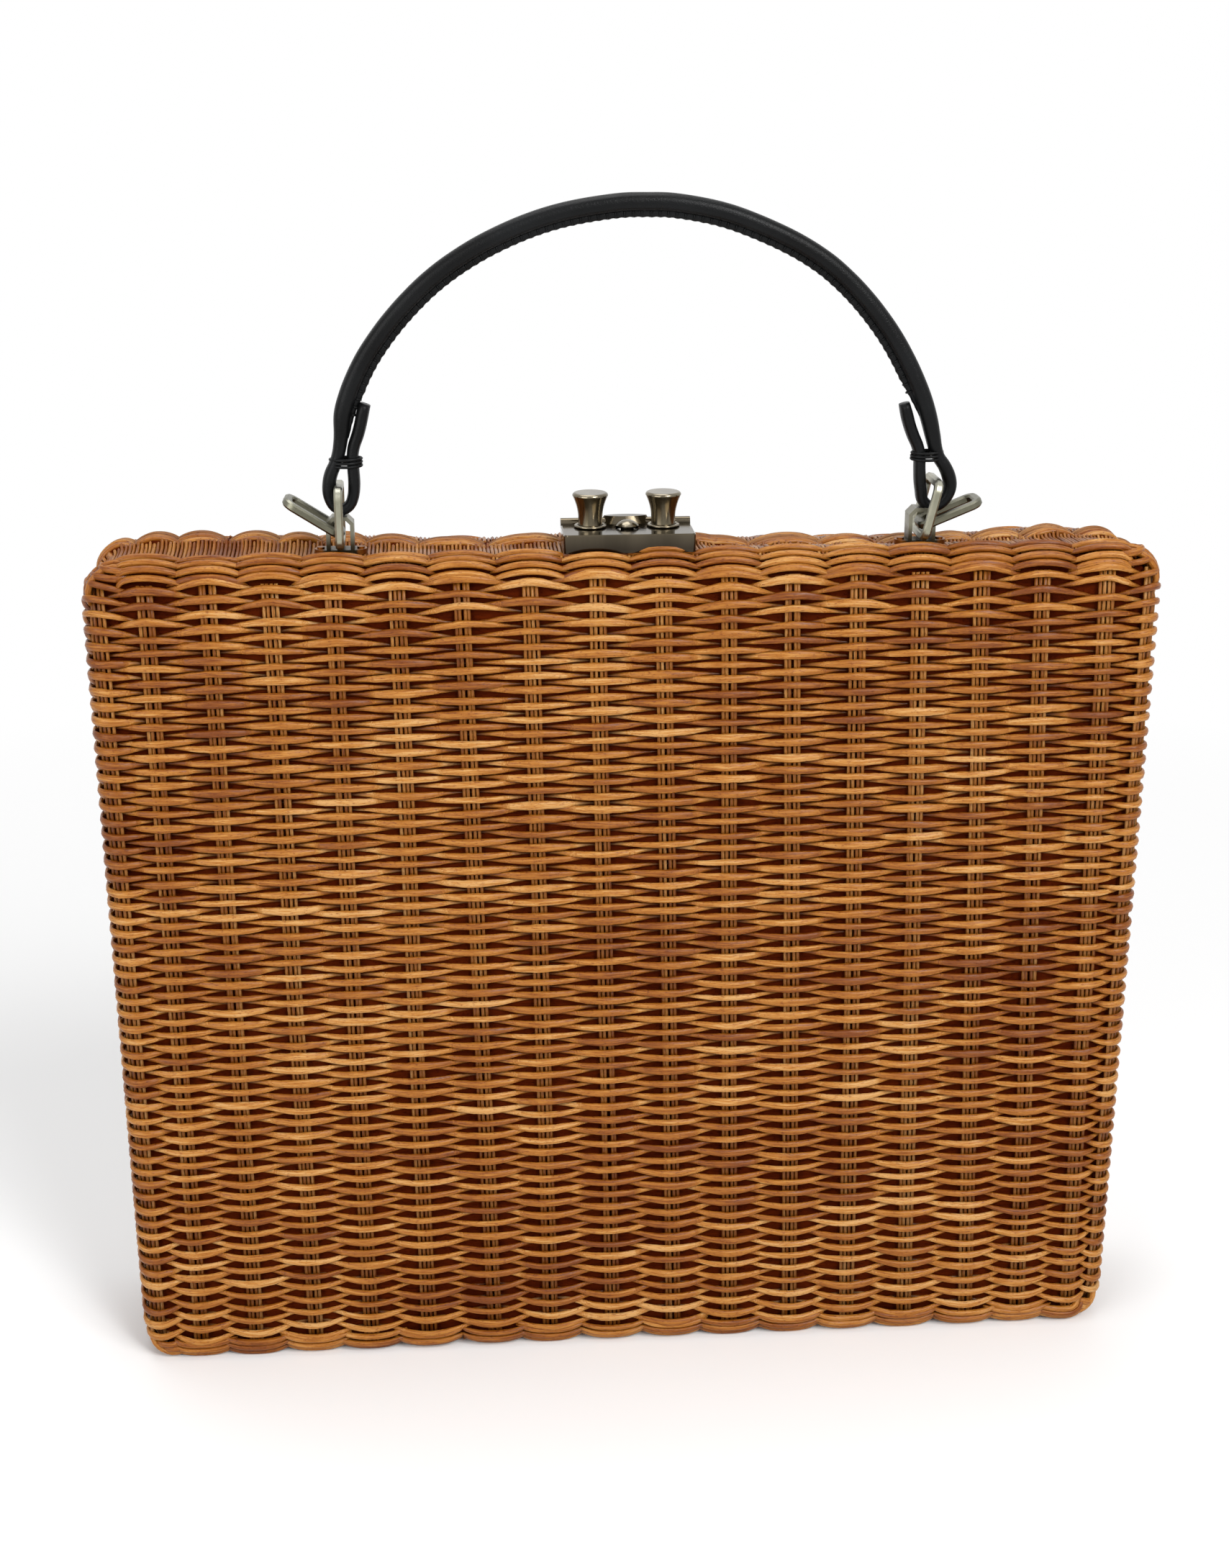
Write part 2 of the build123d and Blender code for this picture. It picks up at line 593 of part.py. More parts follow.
for side_name, side in (("left", -1), ("right", 1)):
    with BuildPart() as slider:
        with BuildSketch(level(SLIDER_TOP - SLIDER_SHEET)):
            with Locations((side * (SLIDER_NOSE + SLIDER_LENGTH / 2), KNOB_Y)):
                Rectangle(SLIDER_LENGTH, SLIDER_WIDTH)
            with Locations((side * KNOB_X, KNOB_Y)):
                Circle(KNOB_RIVET_R + SCREW_FIT, mode=Mode.SUBTRACT)
        extrude(amount=SLIDER_SHEET)
        nose_edges = slider.edges().filter_by(Axis.Z).sort_by(Axis.X)
        fillet(nose_edges[-2:] if side < 0 else nose_edges[:2], SLIDER_NOSE_R)
    slider.part.label = f"{side_name}_slider"
    export_step(slider.part, f"parts/{side_name}_slider.step")
    with BuildPart() as knob:
        with BuildSketch(section(KNOB_Y)):
            with Locations((side * KNOB_X, 0)):
                add(knob_profile)
        revolve(axis=Axis((side * KNOB_X, KNOB_Y, 0), (0, 0, 1)))
    knob.part.label = f"{side_name}_knob"
    export_step(knob.part, f"parts/{side_name}_knob.step")

# Catch spring: one bent wire whose legs lie at the stud's neck and end at the two slider noses
CATCH_LEG = STUD_NECK_R + CATCH_PLAY + WIRE / 2
CATCH_END_X = SLIDER_NOSE - PLAY
CATCH_REAR_Y = STUD_Y + CATCH_REAR
CATCH_FRONT_Y = STUD_Y - CATCH_FRONT
with BuildPart() as catch_spring:
    with BuildSketch(level(TONGUE_TOP + PLAY)):
        with BuildLine():
            Line((-CATCH_END_X, CATCH_REAR_Y), (-CATCH_LEG, CATCH_REAR_Y))
            Line((-CATCH_LEG, CATCH_REAR_Y), (-CATCH_LEG, CATCH_FRONT_Y))
            ThreePointArc(
                (-CATCH_LEG, CATCH_FRONT_Y), (0, CATCH_FRONT_Y - CATCH_LEG), (CATCH_LEG, CATCH_FRONT_Y)
            )
            Line((CATCH_LEG, CATCH_FRONT_Y), (CATCH_LEG, CATCH_REAR_Y))
            Line((CATCH_LEG, CATCH_REAR_Y), (CATCH_END_X, CATCH_REAR_Y))
        trace(line_width=WIRE)
    extrude(amount=WIRE)
catch_spring.part.label = "catch_spring"
export_step(catch_spring.part, "parts/catch_spring.step")

# Tongue from the back tray: over both borders, under the rod, its round tip below the stud opening
TIP_Y = STUD_Y - TONGUE_TIP
with BuildPart() as tongue:
    with BuildSketch(level(TONGUE_UNDER)) as tongue_blade:
        with Locations((0, (TIP_Y + HEEL_Y + TONGUE_SHEET) / 2)):
            Rectangle(TONGUE_WIDTH, HEEL_Y + TONGUE_SHEET - TIP_Y)
        fillet(tongue_blade.vertices().group_by(Axis.Y)[0], TONGUE_WIDTH / 2 - PLAY)
        with Locations((0, STUD_Y)):
            Circle(STUD_SHANK_R + SCREW_FIT, mode=Mode.SUBTRACT)
    extrude(amount=TONGUE_SHEET)
    with BuildSketch(profile(-TONGUE_WIDTH / 2)):
        with Locations((HEEL_Y + TONGUE_SHEET / 2, (STRIP + TONGUE_TOP) / 2)):
            Rectangle(TONGUE_SHEET, TONGUE_TOP - STRIP)
    extrude(amount=TONGUE_WIDTH)
    with BuildSketch(level(STRIP)):
        with Locations((0, HEEL_Y + TONGUE_FOOT / 2)):
            Rectangle(TONGUE_FOOT_WIDTH, TONGUE_FOOT)
    extrude(amount=TONGUE_SHEET)
    add(tongue_holes, mode=Mode.SUBTRACT)
tongue.part.label = "tongue"
export_step(tongue.part, "parts/tongue.step")

# Stud: shank through the tongue, slim neck, domed head
with BuildPart() as stud:
    with BuildSketch(section(STUD_Y)):
        with BuildLine():
            dome = TangentArc((0, STUD_TOP), (STUD_HEAD_R, STUD_TOP - STUD_HEAD), tangent=(1, 0))
            Polyline(
                dome @ 0,
                (0, TONGUE_UNDER),
                (STUD_SHANK_R, TONGUE_UNDER),
                (STUD_SHANK_R, TONGUE_TOP),
                (STUD_NECK_R, TONGUE_TOP),
                (STUD_NECK_R, STUD_TOP - STUD_HEAD),
                dome @ 1,
            )
        make_face()
    revolve(axis=Axis((0, STUD_Y, 0), (0, 0, 1)))
stud.part.label = "stud"
export_step(stud.part, "parts/stud.step")

# Handle brackets: flat arches with cut corners on base plates
ARCH_LOW = STRIP + BRACKET_BASE
ARCH_HIGH = TOP + BRACKET_RISE
for side_name, bracket_x in (("left", LEFT_X), ("right", RIGHT_X)):
    with BuildPart() as bracket:
        with BuildSketch(level(STRIP)):
            with Locations((bracket_x, BRACKET_Y)):
                SlotOverall(BRACKET_FOOT, BRACKET_DEPTH)
        extrude(amount=BRACKET_BASE)
        with BuildSketch(section(BRACKET_Y)):
            with BuildSketch(section(BRACKET_Y), mode=Mode.PRIVATE) as arch_outer:
                with Locations((bracket_x, (ARCH_LOW + ARCH_HIGH) / 2)):
                    Rectangle(BRACKET_WIDTH, ARCH_HIGH - ARCH_LOW)
                chamfer(arch_outer.vertices().group_by(Axis.Y)[-1], BRACKET_CHAMFER)
            add(arch_outer.sketch_local)
            offset(amount=-BRACKET_SHEET, kind=Kind.INTERSECTION, mode=Mode.SUBTRACT)
            with Locations((bracket_x, ARCH_LOW + BRACKET_SHEET / 2)):
                Rectangle(BRACKET_WIDTH - 2 * BRACKET_SHEET, BRACKET_SHEET, mode=Mode.SUBTRACT)
        extrude(amount=BRACKET_DEPTH / 2, both=True)
        add(bracket_holes, mode=Mode.SUBTRACT)
    bracket.part.label = f"{side_name}_bracket"
    export_step(bracket.part, f"parts/{side_name}_bracket.step")

# Rings: each lies in an upright plane along the depth of the bag, leaning about its lower bar
for name, pivot_x, rise, lean, width, reach in (
    ("left_handle_ring", LEFT_X, HANDLE_PIVOT_RISE, 0.0, HANDLE_RING_WIDTH, HANDLE_RING_REACH),
    (
        "right_handle_ring",
        RIGHT_X,
        HANDLE_PIVOT_RISE,
        RIGHT_RING_LEAN,
        HANDLE_RING_WIDTH,
        HANDLE_RING_REACH,
    ),
    (
        "left_strap_ring",
        LEFT_X,
        STRAP_PIVOT_RISE,
        LEFT_STRAP_ANGLE - 90,
        STRAP_RING_WIDTH,
        STRAP_RING_REACH,
    ),
    (
        "right_strap_ring",
        RIGHT_X,
        STRAP_PIVOT_RISE,
        90 - RIGHT_STRAP_ANGLE,
        STRAP_RING_WIDTH,
        STRAP_RING_REACH,
    ),
):
    tilt = radians(lean)
    ring_plane = Plane(
        origin=(pivot_x, BRACKET_Y, TOP + rise), x_dir=(0, 1, 0), z_dir=(cos(tilt), 0, -sin(tilt))
    )
    with BuildPart() as ring:
        with BuildSketch(ring_plane):
            with Locations((0, reach / 2)):
                RectangleRounded(width, reach + RING_SECTION, RING_CORNER)
                RectangleRounded(
                    width - 2 * RING_SECTION,
                    reach - RING_SECTION,
                    RING_CORNER - RING_SECTION,
                    mode=Mode.SUBTRACT,
                )
        extrude(amount=RING_SECTION / 2, both=True)
        ring_sides = ring.faces().filter_by(Axis(ring_plane.origin, ring_plane.z_dir))
        chamfer(ring_sides.edges(), RING_EDGE)
    ring.part.label = name
    export_step(ring.part, f"parts/{name}.step")

# Leather handle: an arched band, a loop folded round each ring's top bar, and two free tails
RIGHT_LOOP_X = RIGHT_X + HANDLE_RING_REACH * sin(radians(RIGHT_RING_LEAN))
HANDLE_X = (LEFT_X + RIGHT_LOOP_X) / 2
HANDLE_HALF = (RIGHT_LOOP_X - LEFT_X) / 2
LOOP_R = LOOP_WIDTH / 2
HOLE_LOW = LOOP_BOTTOM + LOOP_LEATHER
HOLE_HIGH = HANDLE_PIVOT_RISE + HANDLE_RING_REACH + RING_SECTION / 2 + LOOP_CLEARANCE
handle_plane = Plane(origin=(HANDLE_X, BRACKET_Y, TOP), x_dir=(1, 0, 0), z_dir=(0, -1, 0))
with BuildPart() as handle:
    with BuildSketch(handle_plane):
        with BuildLine():
            for side in (1, -1):
                crown = TangentArc(
                    (0, CROWN_OUTER), (side * SHOULDER_OUTER[0], SHOULDER_OUTER[1]), tangent=(side, 0)
                )
                shoulder = TangentArc(
                    crown @ 1, (side * ELBOW_OUTER[0], ELBOW_OUTER[1]), tangent=crown % 1
                )
                flank = TangentArc(
                    shoulder @ 1, (side * (HANDLE_HALF + SIDE_OUTER), SIDE_RISE), tangent=shoulder % 1
                )
                Line(flank @ 1, (side * (HANDLE_HALF + SIDE_OUTER), NECK_RISE))
                inner_crown = TangentArc(
                    (0, CROWN_INNER), (side * SHOULDER_INNER[0], SHOULDER_INNER[1]), tangent=(side, 0)
                )
                inner_shoulder = TangentArc(
                    inner_crown @ 1, (side * ELBOW_INNER[0], ELBOW_INNER[1]), tangent=inner_crown % 1
                )
                inner_flank = TangentArc(
                    inner_shoulder @ 1,
                    (side * (HANDLE_HALF - SIDE_INNER), SIDE_RISE),
                    tangent=inner_shoulder % 1,
                )
                Line(inner_flank @ 1, (side * (HANDLE_HALF - SIDE_INNER), NECK_RISE))
                Line(
                    (side * (HANDLE_HALF + SIDE_OUTER), NECK_RISE),
                    (side * (HANDLE_HALF - SIDE_INNER), NECK_RISE),
                )
        make_face()
    extrude(amount=HANDLE_DEPTH / 2, both=True)
    band_edges = handle.faces().filter_by(Axis.Y).edges().filter_by(GeomType.CIRCLE)
    chamfer(band_edges, HANDLE_BEVEL)
    for side in (1, -1):
        with BuildSketch(handle_plane):
            with Locations((side * HANDLE_HALF, LOOP_BOTTOM + LOOP_R)):
                Circle(LOOP_R)
            with Locations((side * HANDLE_HALF, NECK_RISE)):
                Rectangle(NECK_WIDTH, NECK_SEAT)
            make_hull()
        extrude(amount=LOOP_DEPTH / 2, both=True)
        with BuildSketch(handle_plane):
            with BuildLine():
                Line(
                    (side * (HANDLE_HALF - TAIL_ROOT), NECK_RISE - TAIL_THICKNESS),
                    (side * (HANDLE_HALF - TAIL_REACH), TAIL_RISE),
                )
            trace(line_width=TAIL_THICKNESS)
        extrude(amount=LOOP_DEPTH / 2, both=True)
        with BuildSketch(handle_plane):
            with Locations((side * HANDLE_HALF, (HOLE_LOW + HOLE_HIGH) / 2)):
                SlotOverall(HOLE_HIGH - HOLE_LOW, RING_SECTION + 2 * LOOP_CLEARANCE, rotation=90)
        extrude(amount=HANDLE_DEPTH / 2, both=True, mode=Mode.SUBTRACT)
handle.part.label = "handle"
export_step(handle.part, "parts/handle.step")
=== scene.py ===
from math import cos, pi, radians, sin

import bpy
import numpy as np
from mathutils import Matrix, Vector


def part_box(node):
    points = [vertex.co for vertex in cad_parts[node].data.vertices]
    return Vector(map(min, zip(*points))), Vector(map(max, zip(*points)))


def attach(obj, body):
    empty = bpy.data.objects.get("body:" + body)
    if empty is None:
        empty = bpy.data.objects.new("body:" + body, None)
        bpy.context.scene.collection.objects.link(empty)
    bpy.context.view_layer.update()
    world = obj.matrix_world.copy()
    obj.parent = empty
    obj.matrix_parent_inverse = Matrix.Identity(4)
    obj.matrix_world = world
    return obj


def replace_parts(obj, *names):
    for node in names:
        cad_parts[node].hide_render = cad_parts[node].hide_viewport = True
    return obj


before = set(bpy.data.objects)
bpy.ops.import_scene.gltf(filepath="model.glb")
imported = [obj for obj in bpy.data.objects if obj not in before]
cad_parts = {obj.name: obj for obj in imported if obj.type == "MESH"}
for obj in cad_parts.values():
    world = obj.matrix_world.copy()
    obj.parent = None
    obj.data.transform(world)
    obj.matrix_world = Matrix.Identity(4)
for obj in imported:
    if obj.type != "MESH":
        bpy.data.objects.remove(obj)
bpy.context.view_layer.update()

# Lengths are millimetres in the CAD's frame. Materials, the floor and the lights use metres.
MM = 0.001
rng = np.random.default_rng(20)
# Shift of the grain from tone to tone, so that strands of different tones show different streaks
TONE_SPACING = 40

# Camera, from the fit to the photograph: place, angles in degrees, lens and sensor
CAMERA_PLACE = (-45.75, -551.12, 329.54)
CAMERA_YAW = 4.517
CAMERA_PITCH = 18.221
CAMERA_LENS = 52.58
SENSOR_HEIGHT = 36.0

# Outline of the trays from the front: heights, half widths and corner radii
TOP = 212.0
WALL_TOP = 211.2
CASE_TOP = 216.0
HALF_TOP = 129.0
HALF_FOOT = 126.5
TOP_CORNER = 11.0
FOOT_CORNER = 9.0
WALL_INSET = 0.4

# Depths from the parting plane: end of the border, ends of the weavers and rods, plane of the woven face
BORDER_END = 4.15
WEAVERS_END = BORDER_END + 0.1
RODS_END = 19.6
WEAVE_PLANE = 22.5

# Weave: swing out of its plane, corner in plan, inset and corners of its outline, rows
WEAVE_SWING = 1.15
WEAVE_CORNER = 5.0
CORNER_STEPS = 9
WEAVE_INSET = 0.4
WEAVE_TOP_CORNER = 12.5
WEAVE_FOOT_CORNER = 12.0
ROW_PITCH = 1.8
FIRST_ROW = 6.2
ROWS_END = 5.3
CORNER_ROWS_END = 1.6
FOOT_CORNER_ROWS = [2.9, 4.6]

# Back tray: fall of its far top edge, inset of its face, depth where both begin, sink of its rods
BACK_FALL = 3.8
BACK_TOP = TOP - BACK_FALL
BACK_INSET = 1.9
BACK_LEVEL = 12.0
BACK_SINK = 0.9

# Stakes seen on the front, at two heights; a stake more on each side wall; the reeds of one stake
HIGH_Z, LOW_Z = 196.8, 27.1
STAKES_HIGH = np.array([
    -125.2, -113.9, -99.4, -84.9, -70.3, -55.2, -40.0, -23.8, -7.9, 7.9, 23.5, 38.9, 54.7, 69.6, 84.7,
    99.5, 115.2, 126.3,
])
STAKES_LOW = np.array([
    -123.1, -112.1, -97.8, -82.6, -68.1, -53.0, -36.0, -21.2, -4.9, 11.1, 26.2, 42.1, 57.5, 72.9, 89.3,
    103.5, 117.4, 124.8,
])
SIDE_STAKE_Y = 11.6
STAKE_COUNT = len(STAKES_HIGH) + 2
STAKE_REEDS = (-1.58, -0.62, 0.58, 1.55)
STAKES_FOOT = 3.0
STAKES_END = 5.5

# Places along a row count the stakes: a whole row, and the rows at either corner with their shift and
# the share of their rise and fall
WEAVE_SPAN = (-0.68, 19.68)
CORNER_SPANS = ((WEAVE_SPAN[0], 1.7), 1), ((17.3, WEAVE_SPAN[1]), 0)
CORNER_BEND = 0.35

# Rise and fall of a weaver between two stakes, by its height
BOW_HEIGHTS = [5, 12, 20, 30, 45, 70, 110, 150, 178, 192, 206]
BOWS = [-1.15, -0.95, -0.75, -0.6, -0.42, -0.25, -0.05, 0.05, 0.2, 0.6, 1.35]

# How far the top stands over or under its mean line near the opening, from left to right. It fades in
# with height, and towards the opening: all of it on the front tray, only its rises on the back tray.
SAG_X = [-128, -122, -114, -103, -90, -72, -57, -43, -24, -18, -10, 10, 17, 22, 70, 80, 93, 106, 119, 128]
SAG = [-0.8, 0.4, 1.3, 1.3, 1.1, 0.4, -0.2, -1.0, -0.8, -0.3, 0, 0, -0.5, -1.8, -2.1, -1.9, -1.3, -0.5,
       -1.2, -2.0]
SAG_HEIGHT, SAG_HEIGHT_FADE = 190, 18
FRONT_SAG_DEPTH, FRONT_SAG_FADE = 10, 5.5
BACK_SAG_DEPTH, BACK_SAG_FADE = 9, 5

# Arches of the borders along the top, from right to left
BORDER_PEAKS = [127.0, 118.4, 105.6, 92.6, 80.5, 69.0, 55.0, 39.9, 21.7, 4.0, -9.5, -24.6, -42.8, -56.8,
                -68.5, -79.0, -89.7, -102.8, -113.5, -124.0]


def mesh_object(name, points, quads, caps, material, body, fields):
    """A closed mesh from points (mm), quads and cap polygons, on a body, with its point attributes."""
    mesh = bpy.data.meshes.new(name)
    counts = [len(quads) * [4]] + [len(c) * [c.shape[1]] for c in caps]
    totals = np.concatenate([np.array(c, int) for c in counts])
    loops = np.concatenate([quads.ravel()] + [c.ravel() for c in caps])
    mesh.vertices.add(len(points))
    mesh.vertices.foreach_set("co", (points * MM).astype(np.float32).ravel())
    mesh.loops.add(len(loops))
    mesh.loops.foreach_set("vertex_index", loops.astype(np.int32))
    mesh.polygons.add(len(totals))
    starts = np.concatenate([[0], np.cumsum(totals)[:-1]])
    mesh.polygons.foreach_set("loop_start", starts.astype(np.int32))
    mesh.polygons.foreach_set("use_smooth", np.ones(len(totals), bool))
    mesh.update(calc_edges=True)
    mesh.validate()
    for field, values in fields.items():
        if values.ndim == 2:
            attribute = mesh.attributes.new(field, "FLOAT_VECTOR", "POINT")
            attribute.data.foreach_set("vector", values.astype(np.float32).ravel())
        else:
            attribute = mesh.attributes.new(field, "FLOAT", "POINT")
            attribute.data.foreach_set("value", values.astype(np.float32))
    obj = bpy.data.objects.new(name, mesh)
    bpy.context.scene.collection.objects.link(obj)
    mesh.materials.append(material)
    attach(obj, body)
    return obj


def strands(path, side, half_side, half_up, ring, tone, shade, lit_inside=False):
    """Rings of points round paths (n, m, 3), as one batch for build(). tone and shade are (n, m).

    With lit_inside, the painted shade leaves the half of each ring that faces away from side.
    """
    tangent = np.gradient(path, axis=1)
    tangent /= np.linalg.norm(tangent, axis=2, keepdims=True)
    side = side - (side * tangent).sum(2, keepdims=True) * tangent
    side /= np.linalg.norm(side, axis=2, keepdims=True)
    up = np.cross(tangent, side)
    angle = np.arange(ring) * 2 * pi / ring
    out = (half_side[..., None] * np.cos(angle))[..., None] * side[:, :, None, :]
    across = half_up[..., None] * np.sin(angle)
    points = path[:, :, None, :] + out + across[..., None] * up[:, :, None, :]
    step = np.linalg.norm(np.diff(path, axis=1), axis=2)
    run = np.concatenate([np.zeros((len(path), 1)), np.cumsum(step, axis=1)], axis=1)
    grain = np.stack(
        [
            np.broadcast_to(run[..., None], across.shape),
            across,
            np.broadcast_to(tone[..., None] * TONE_SPACING, across.shape),
        ],
        axis=-1,
    )
    outer = np.clip(1 + 1.6 * np.cos(angle), 0, 1) if lit_inside else np.ones(ring)
    return {
        "points": points,
        "grain": grain,
        "tone": np.broadcast_to(tone[..., None], across.shape),
        "shade": shade[..., None] * outer,
    }


def settled(points, body):
    """Points of a tray moved with its top, which dips and rises along the opening."""
    x, y, z = points.T
    sag = np.interp(x, SAG_X, SAG)
    if body == "front_half":
        sag = sag * np.clip((y + FRONT_SAG_DEPTH) / FRONT_SAG_FADE, 0, 1)
    elif body == "back_half":
        sag = np.minimum(sag, 0) + np.maximum(sag, 0) * np.clip((BACK_SAG_DEPTH - y) / BACK_SAG_FADE, 0, 1)
    else:
        return points
    return np.stack([x, y, z + sag * np.clip((z - SAG_HEIGHT) / SAG_HEIGHT_FADE, 0, 1)], -1)


def build(name, batches, material, body):
    """One mesh object from batches of closed tubes."""
    quads, caps, points, grain, tone, shade = [], [], [], [], [], []
    offset = 0
    for batch in batches:
        n, m, r = batch["points"].shape[:3]
        index = np.arange(n * m * r).reshape(n, m, r) + offset
        a, b = index[:, :-1, :], index[:, 1:, :]
        quads.append(np.stack([a, np.roll(a, -1, 2), np.roll(b, -1, 2), b], -1).reshape(-1, 4))
        caps.append(np.concatenate([index[:, 0, ::-1], index[:, -1, :]]))
        points.append(batch["points"].reshape(-1, 3))
        grain.append(batch["grain"].reshape(-1, 3))
        tone.append(batch["tone"].ravel())
        shade.append(batch["shade"].ravel())
        offset += n * m * r
    fields = {
        "grain": np.concatenate(grain),
        "tone": np.concatenate(tone),
        "shade": np.concatenate(shade),
    }
    points = settled(np.concatenate(points), body)
    return mesh_object(name, points, np.concatenate(quads), caps, material, body, fields)


def mirrored(batch):
    """The same batch for the back of the bag: y changes sign and the rings turn the other way."""
    flipped = {key: value[:, :, ::-1] for key, value in batch.items()}
    flipped["points"] = flipped["points"] * np.array([1, -1, 1])
    return flipped


def plain_batch(points, tone, shade):
    """A batch whose grain is its place, with one tone and one shade."""
    shape = points.shape[:3]
    return {"points": points, "grain": points, "tone": np.full(shape, tone), "shade": np.full(shape, shade)}


def plain_strands(paths, sides, half_side, half_up, ring):
    """Strands of one girth all along, without tone or shade."""
    shape = np.shape(paths)[:2]
    blank = np.zeros(shape)
    return strands(
        np.array(paths), np.array(sides), np.full(shape, half_side), np.full(shape, half_up), ring, blank,
        blank,
    )


def run_along(line):
    """Length along a line of points up to each of them."""
    return np.concatenate([[0], np.cumsum(np.linalg.norm(np.diff(line, axis=0), axis=1))])


def direction_along(line):
    """Unit direction of a line of points at each of them."""
    tangent = np.gradient(line, axis=0)
    return tangent / np.linalg.norm(tangent, axis=1, keepdims=True)


class Track:
    """Outline of a tray in the XZ plane, run from the middle of the foot round by the right side."""

    def __init__(self, half_top, half_foot, top, foot, top_corner, foot_corner):
        corners = [
            (half_foot - foot_corner, foot + foot_corner, foot_corner, -90),
            (half_top - top_corner, top - top_corner, top_corner, 0),
            (top_corner - half_top, top - top_corner, top_corner, 90),
            (foot_corner - half_foot, foot + foot_corner, foot_corner, 180),
        ]
        points = [(0.0, foot)]
        for x, z, r, start in corners:
            for angle in np.radians(np.linspace(start, start + 90, 15)):
                points.append((x + r * cos(angle), z + r * sin(angle)))
        points.append((0.0, foot))
        points = np.array(points)
        run = run_along(points)
        self.length = run[-1]
        self.s = np.linspace(0, self.length, 3001)
        self.x = np.interp(self.s, run, points[:, 0])
        self.z = np.interp(self.s, run, points[:, 1])
        tangent_x, tangent_z = np.gradient(self.x), np.gradient(self.z)
        size = np.hypot(tangent_x, tangent_z)
        self.nx, self.nz = tangent_z / size, -tangent_x / size

    def at(self, s, lift=0.0):
        """Points at the runs s, lifted outwards, and the outward directions there."""
        s = np.mod(s, self.length)
        nx, nz = np.interp(s, self.s, self.nx), np.interp(s, self.s, self.nz)
        x = np.interp(s, self.s, self.x) + lift * nx
        z = np.interp(s, self.s, self.z) + lift * nz
        return x, z, nx, nz

    def run_at_top(self, x):
        """Run of the point over x on the upper half of the outline."""
        upper = self.z > TOP / 2
        order = np.argsort(self.x[upper])
        return np.interp(x, self.x[upper][order], self.s[upper][order])

    def run_at_foot(self, x):
        """Run of the point over x on the lower half, negative on the left."""
        lower = self.z < TOP / 2
        s = np.where(self.s > self.length / 2, self.s - self.length, self.s)[lower]
        order = np.argsort(self.x[lower])
        return np.interp(x, self.x[lower][order], s[order])


def half_width(z, top, inset):
    """Half the width at height z of an outline with the weave's rounded corners."""
    half = HALF_FOOT + (HALF_TOP - HALF_FOOT) * z / TOP - inset
    over = np.clip(z - (top - WEAVE_TOP_CORNER), 0, WEAVE_TOP_CORNER)
    under = np.clip(WEAVE_FOOT_CORNER - z, 0, WEAVE_FOOT_CORNER)
    half = half - (WEAVE_TOP_CORNER - np.sqrt(WEAVE_TOP_CORNER**2 - over**2))
    return half - (WEAVE_FOOT_CORNER - np.sqrt(WEAVE_FOOT_CORNER**2 - under**2))


def face_half(z, back):
    """Half the width of a tray's woven face at height z."""
    if back:
        return half_width(z, BACK_TOP, WEAVE_INSET + BACK_INSET)
    return half_width(z, TOP, WEAVE_INSET)


def plan(half, wall_half):
    """Plan line of the woven walls and face: runs, points and outward directions, from left to right."""
    points, normals = [(-wall_half, -WEAVERS_END)], [(-1.0, 0.0)]
    if wall_half > half:
        points.append((-wall_half, -BACK_LEVEL))
        normals.append((-1.0, 0.0))
    centre = np.array([-half + WEAVE_CORNER, -WEAVE_PLANE + WEAVE_CORNER])
    for angle in np.radians(np.linspace(0, 90, CORNER_STEPS)):
        out = np.array([-cos(angle), -sin(angle)])
        points.append(centre + WEAVE_CORNER * out)
        normals.append(out)
    line, out = np.array(points), np.array(normals)
    line = np.concatenate([line, line[::-1] * (-1, 1)])
    out = np.concatenate([out, out[::-1] * (-1, 1)])
    return run_along(line), line, out


def stakes_at(z):
    """The stakes' x at height z, from the two heights where they were measured."""
    return STAKES_LOW + (z - LOW_Z) / (HIGH_Z - LOW_Z) * (STAKES_HIGH - STAKES_LOW)


# Weavers: gap at a row's ends and at the face's sides, half thickness and half breadth with what they gain
# in front of a stake, least breadth of the corner rows, rough places near the top and below, and girths
ROW_GAP = 0.05
STAKE_GAP = 0.8
THICKNESS, THICKNESS_GAIN = 0.48, 0.16
BREADTH, BREADTH_GAIN = 0.36, 0.68
CORNER_BREADTH = 0.8
ROUGH_TOP, ROUGH_TOP_DEPTH, ROUGH = 0.35, 20, 0.23
GIRTHS = (0.76, 1.15)


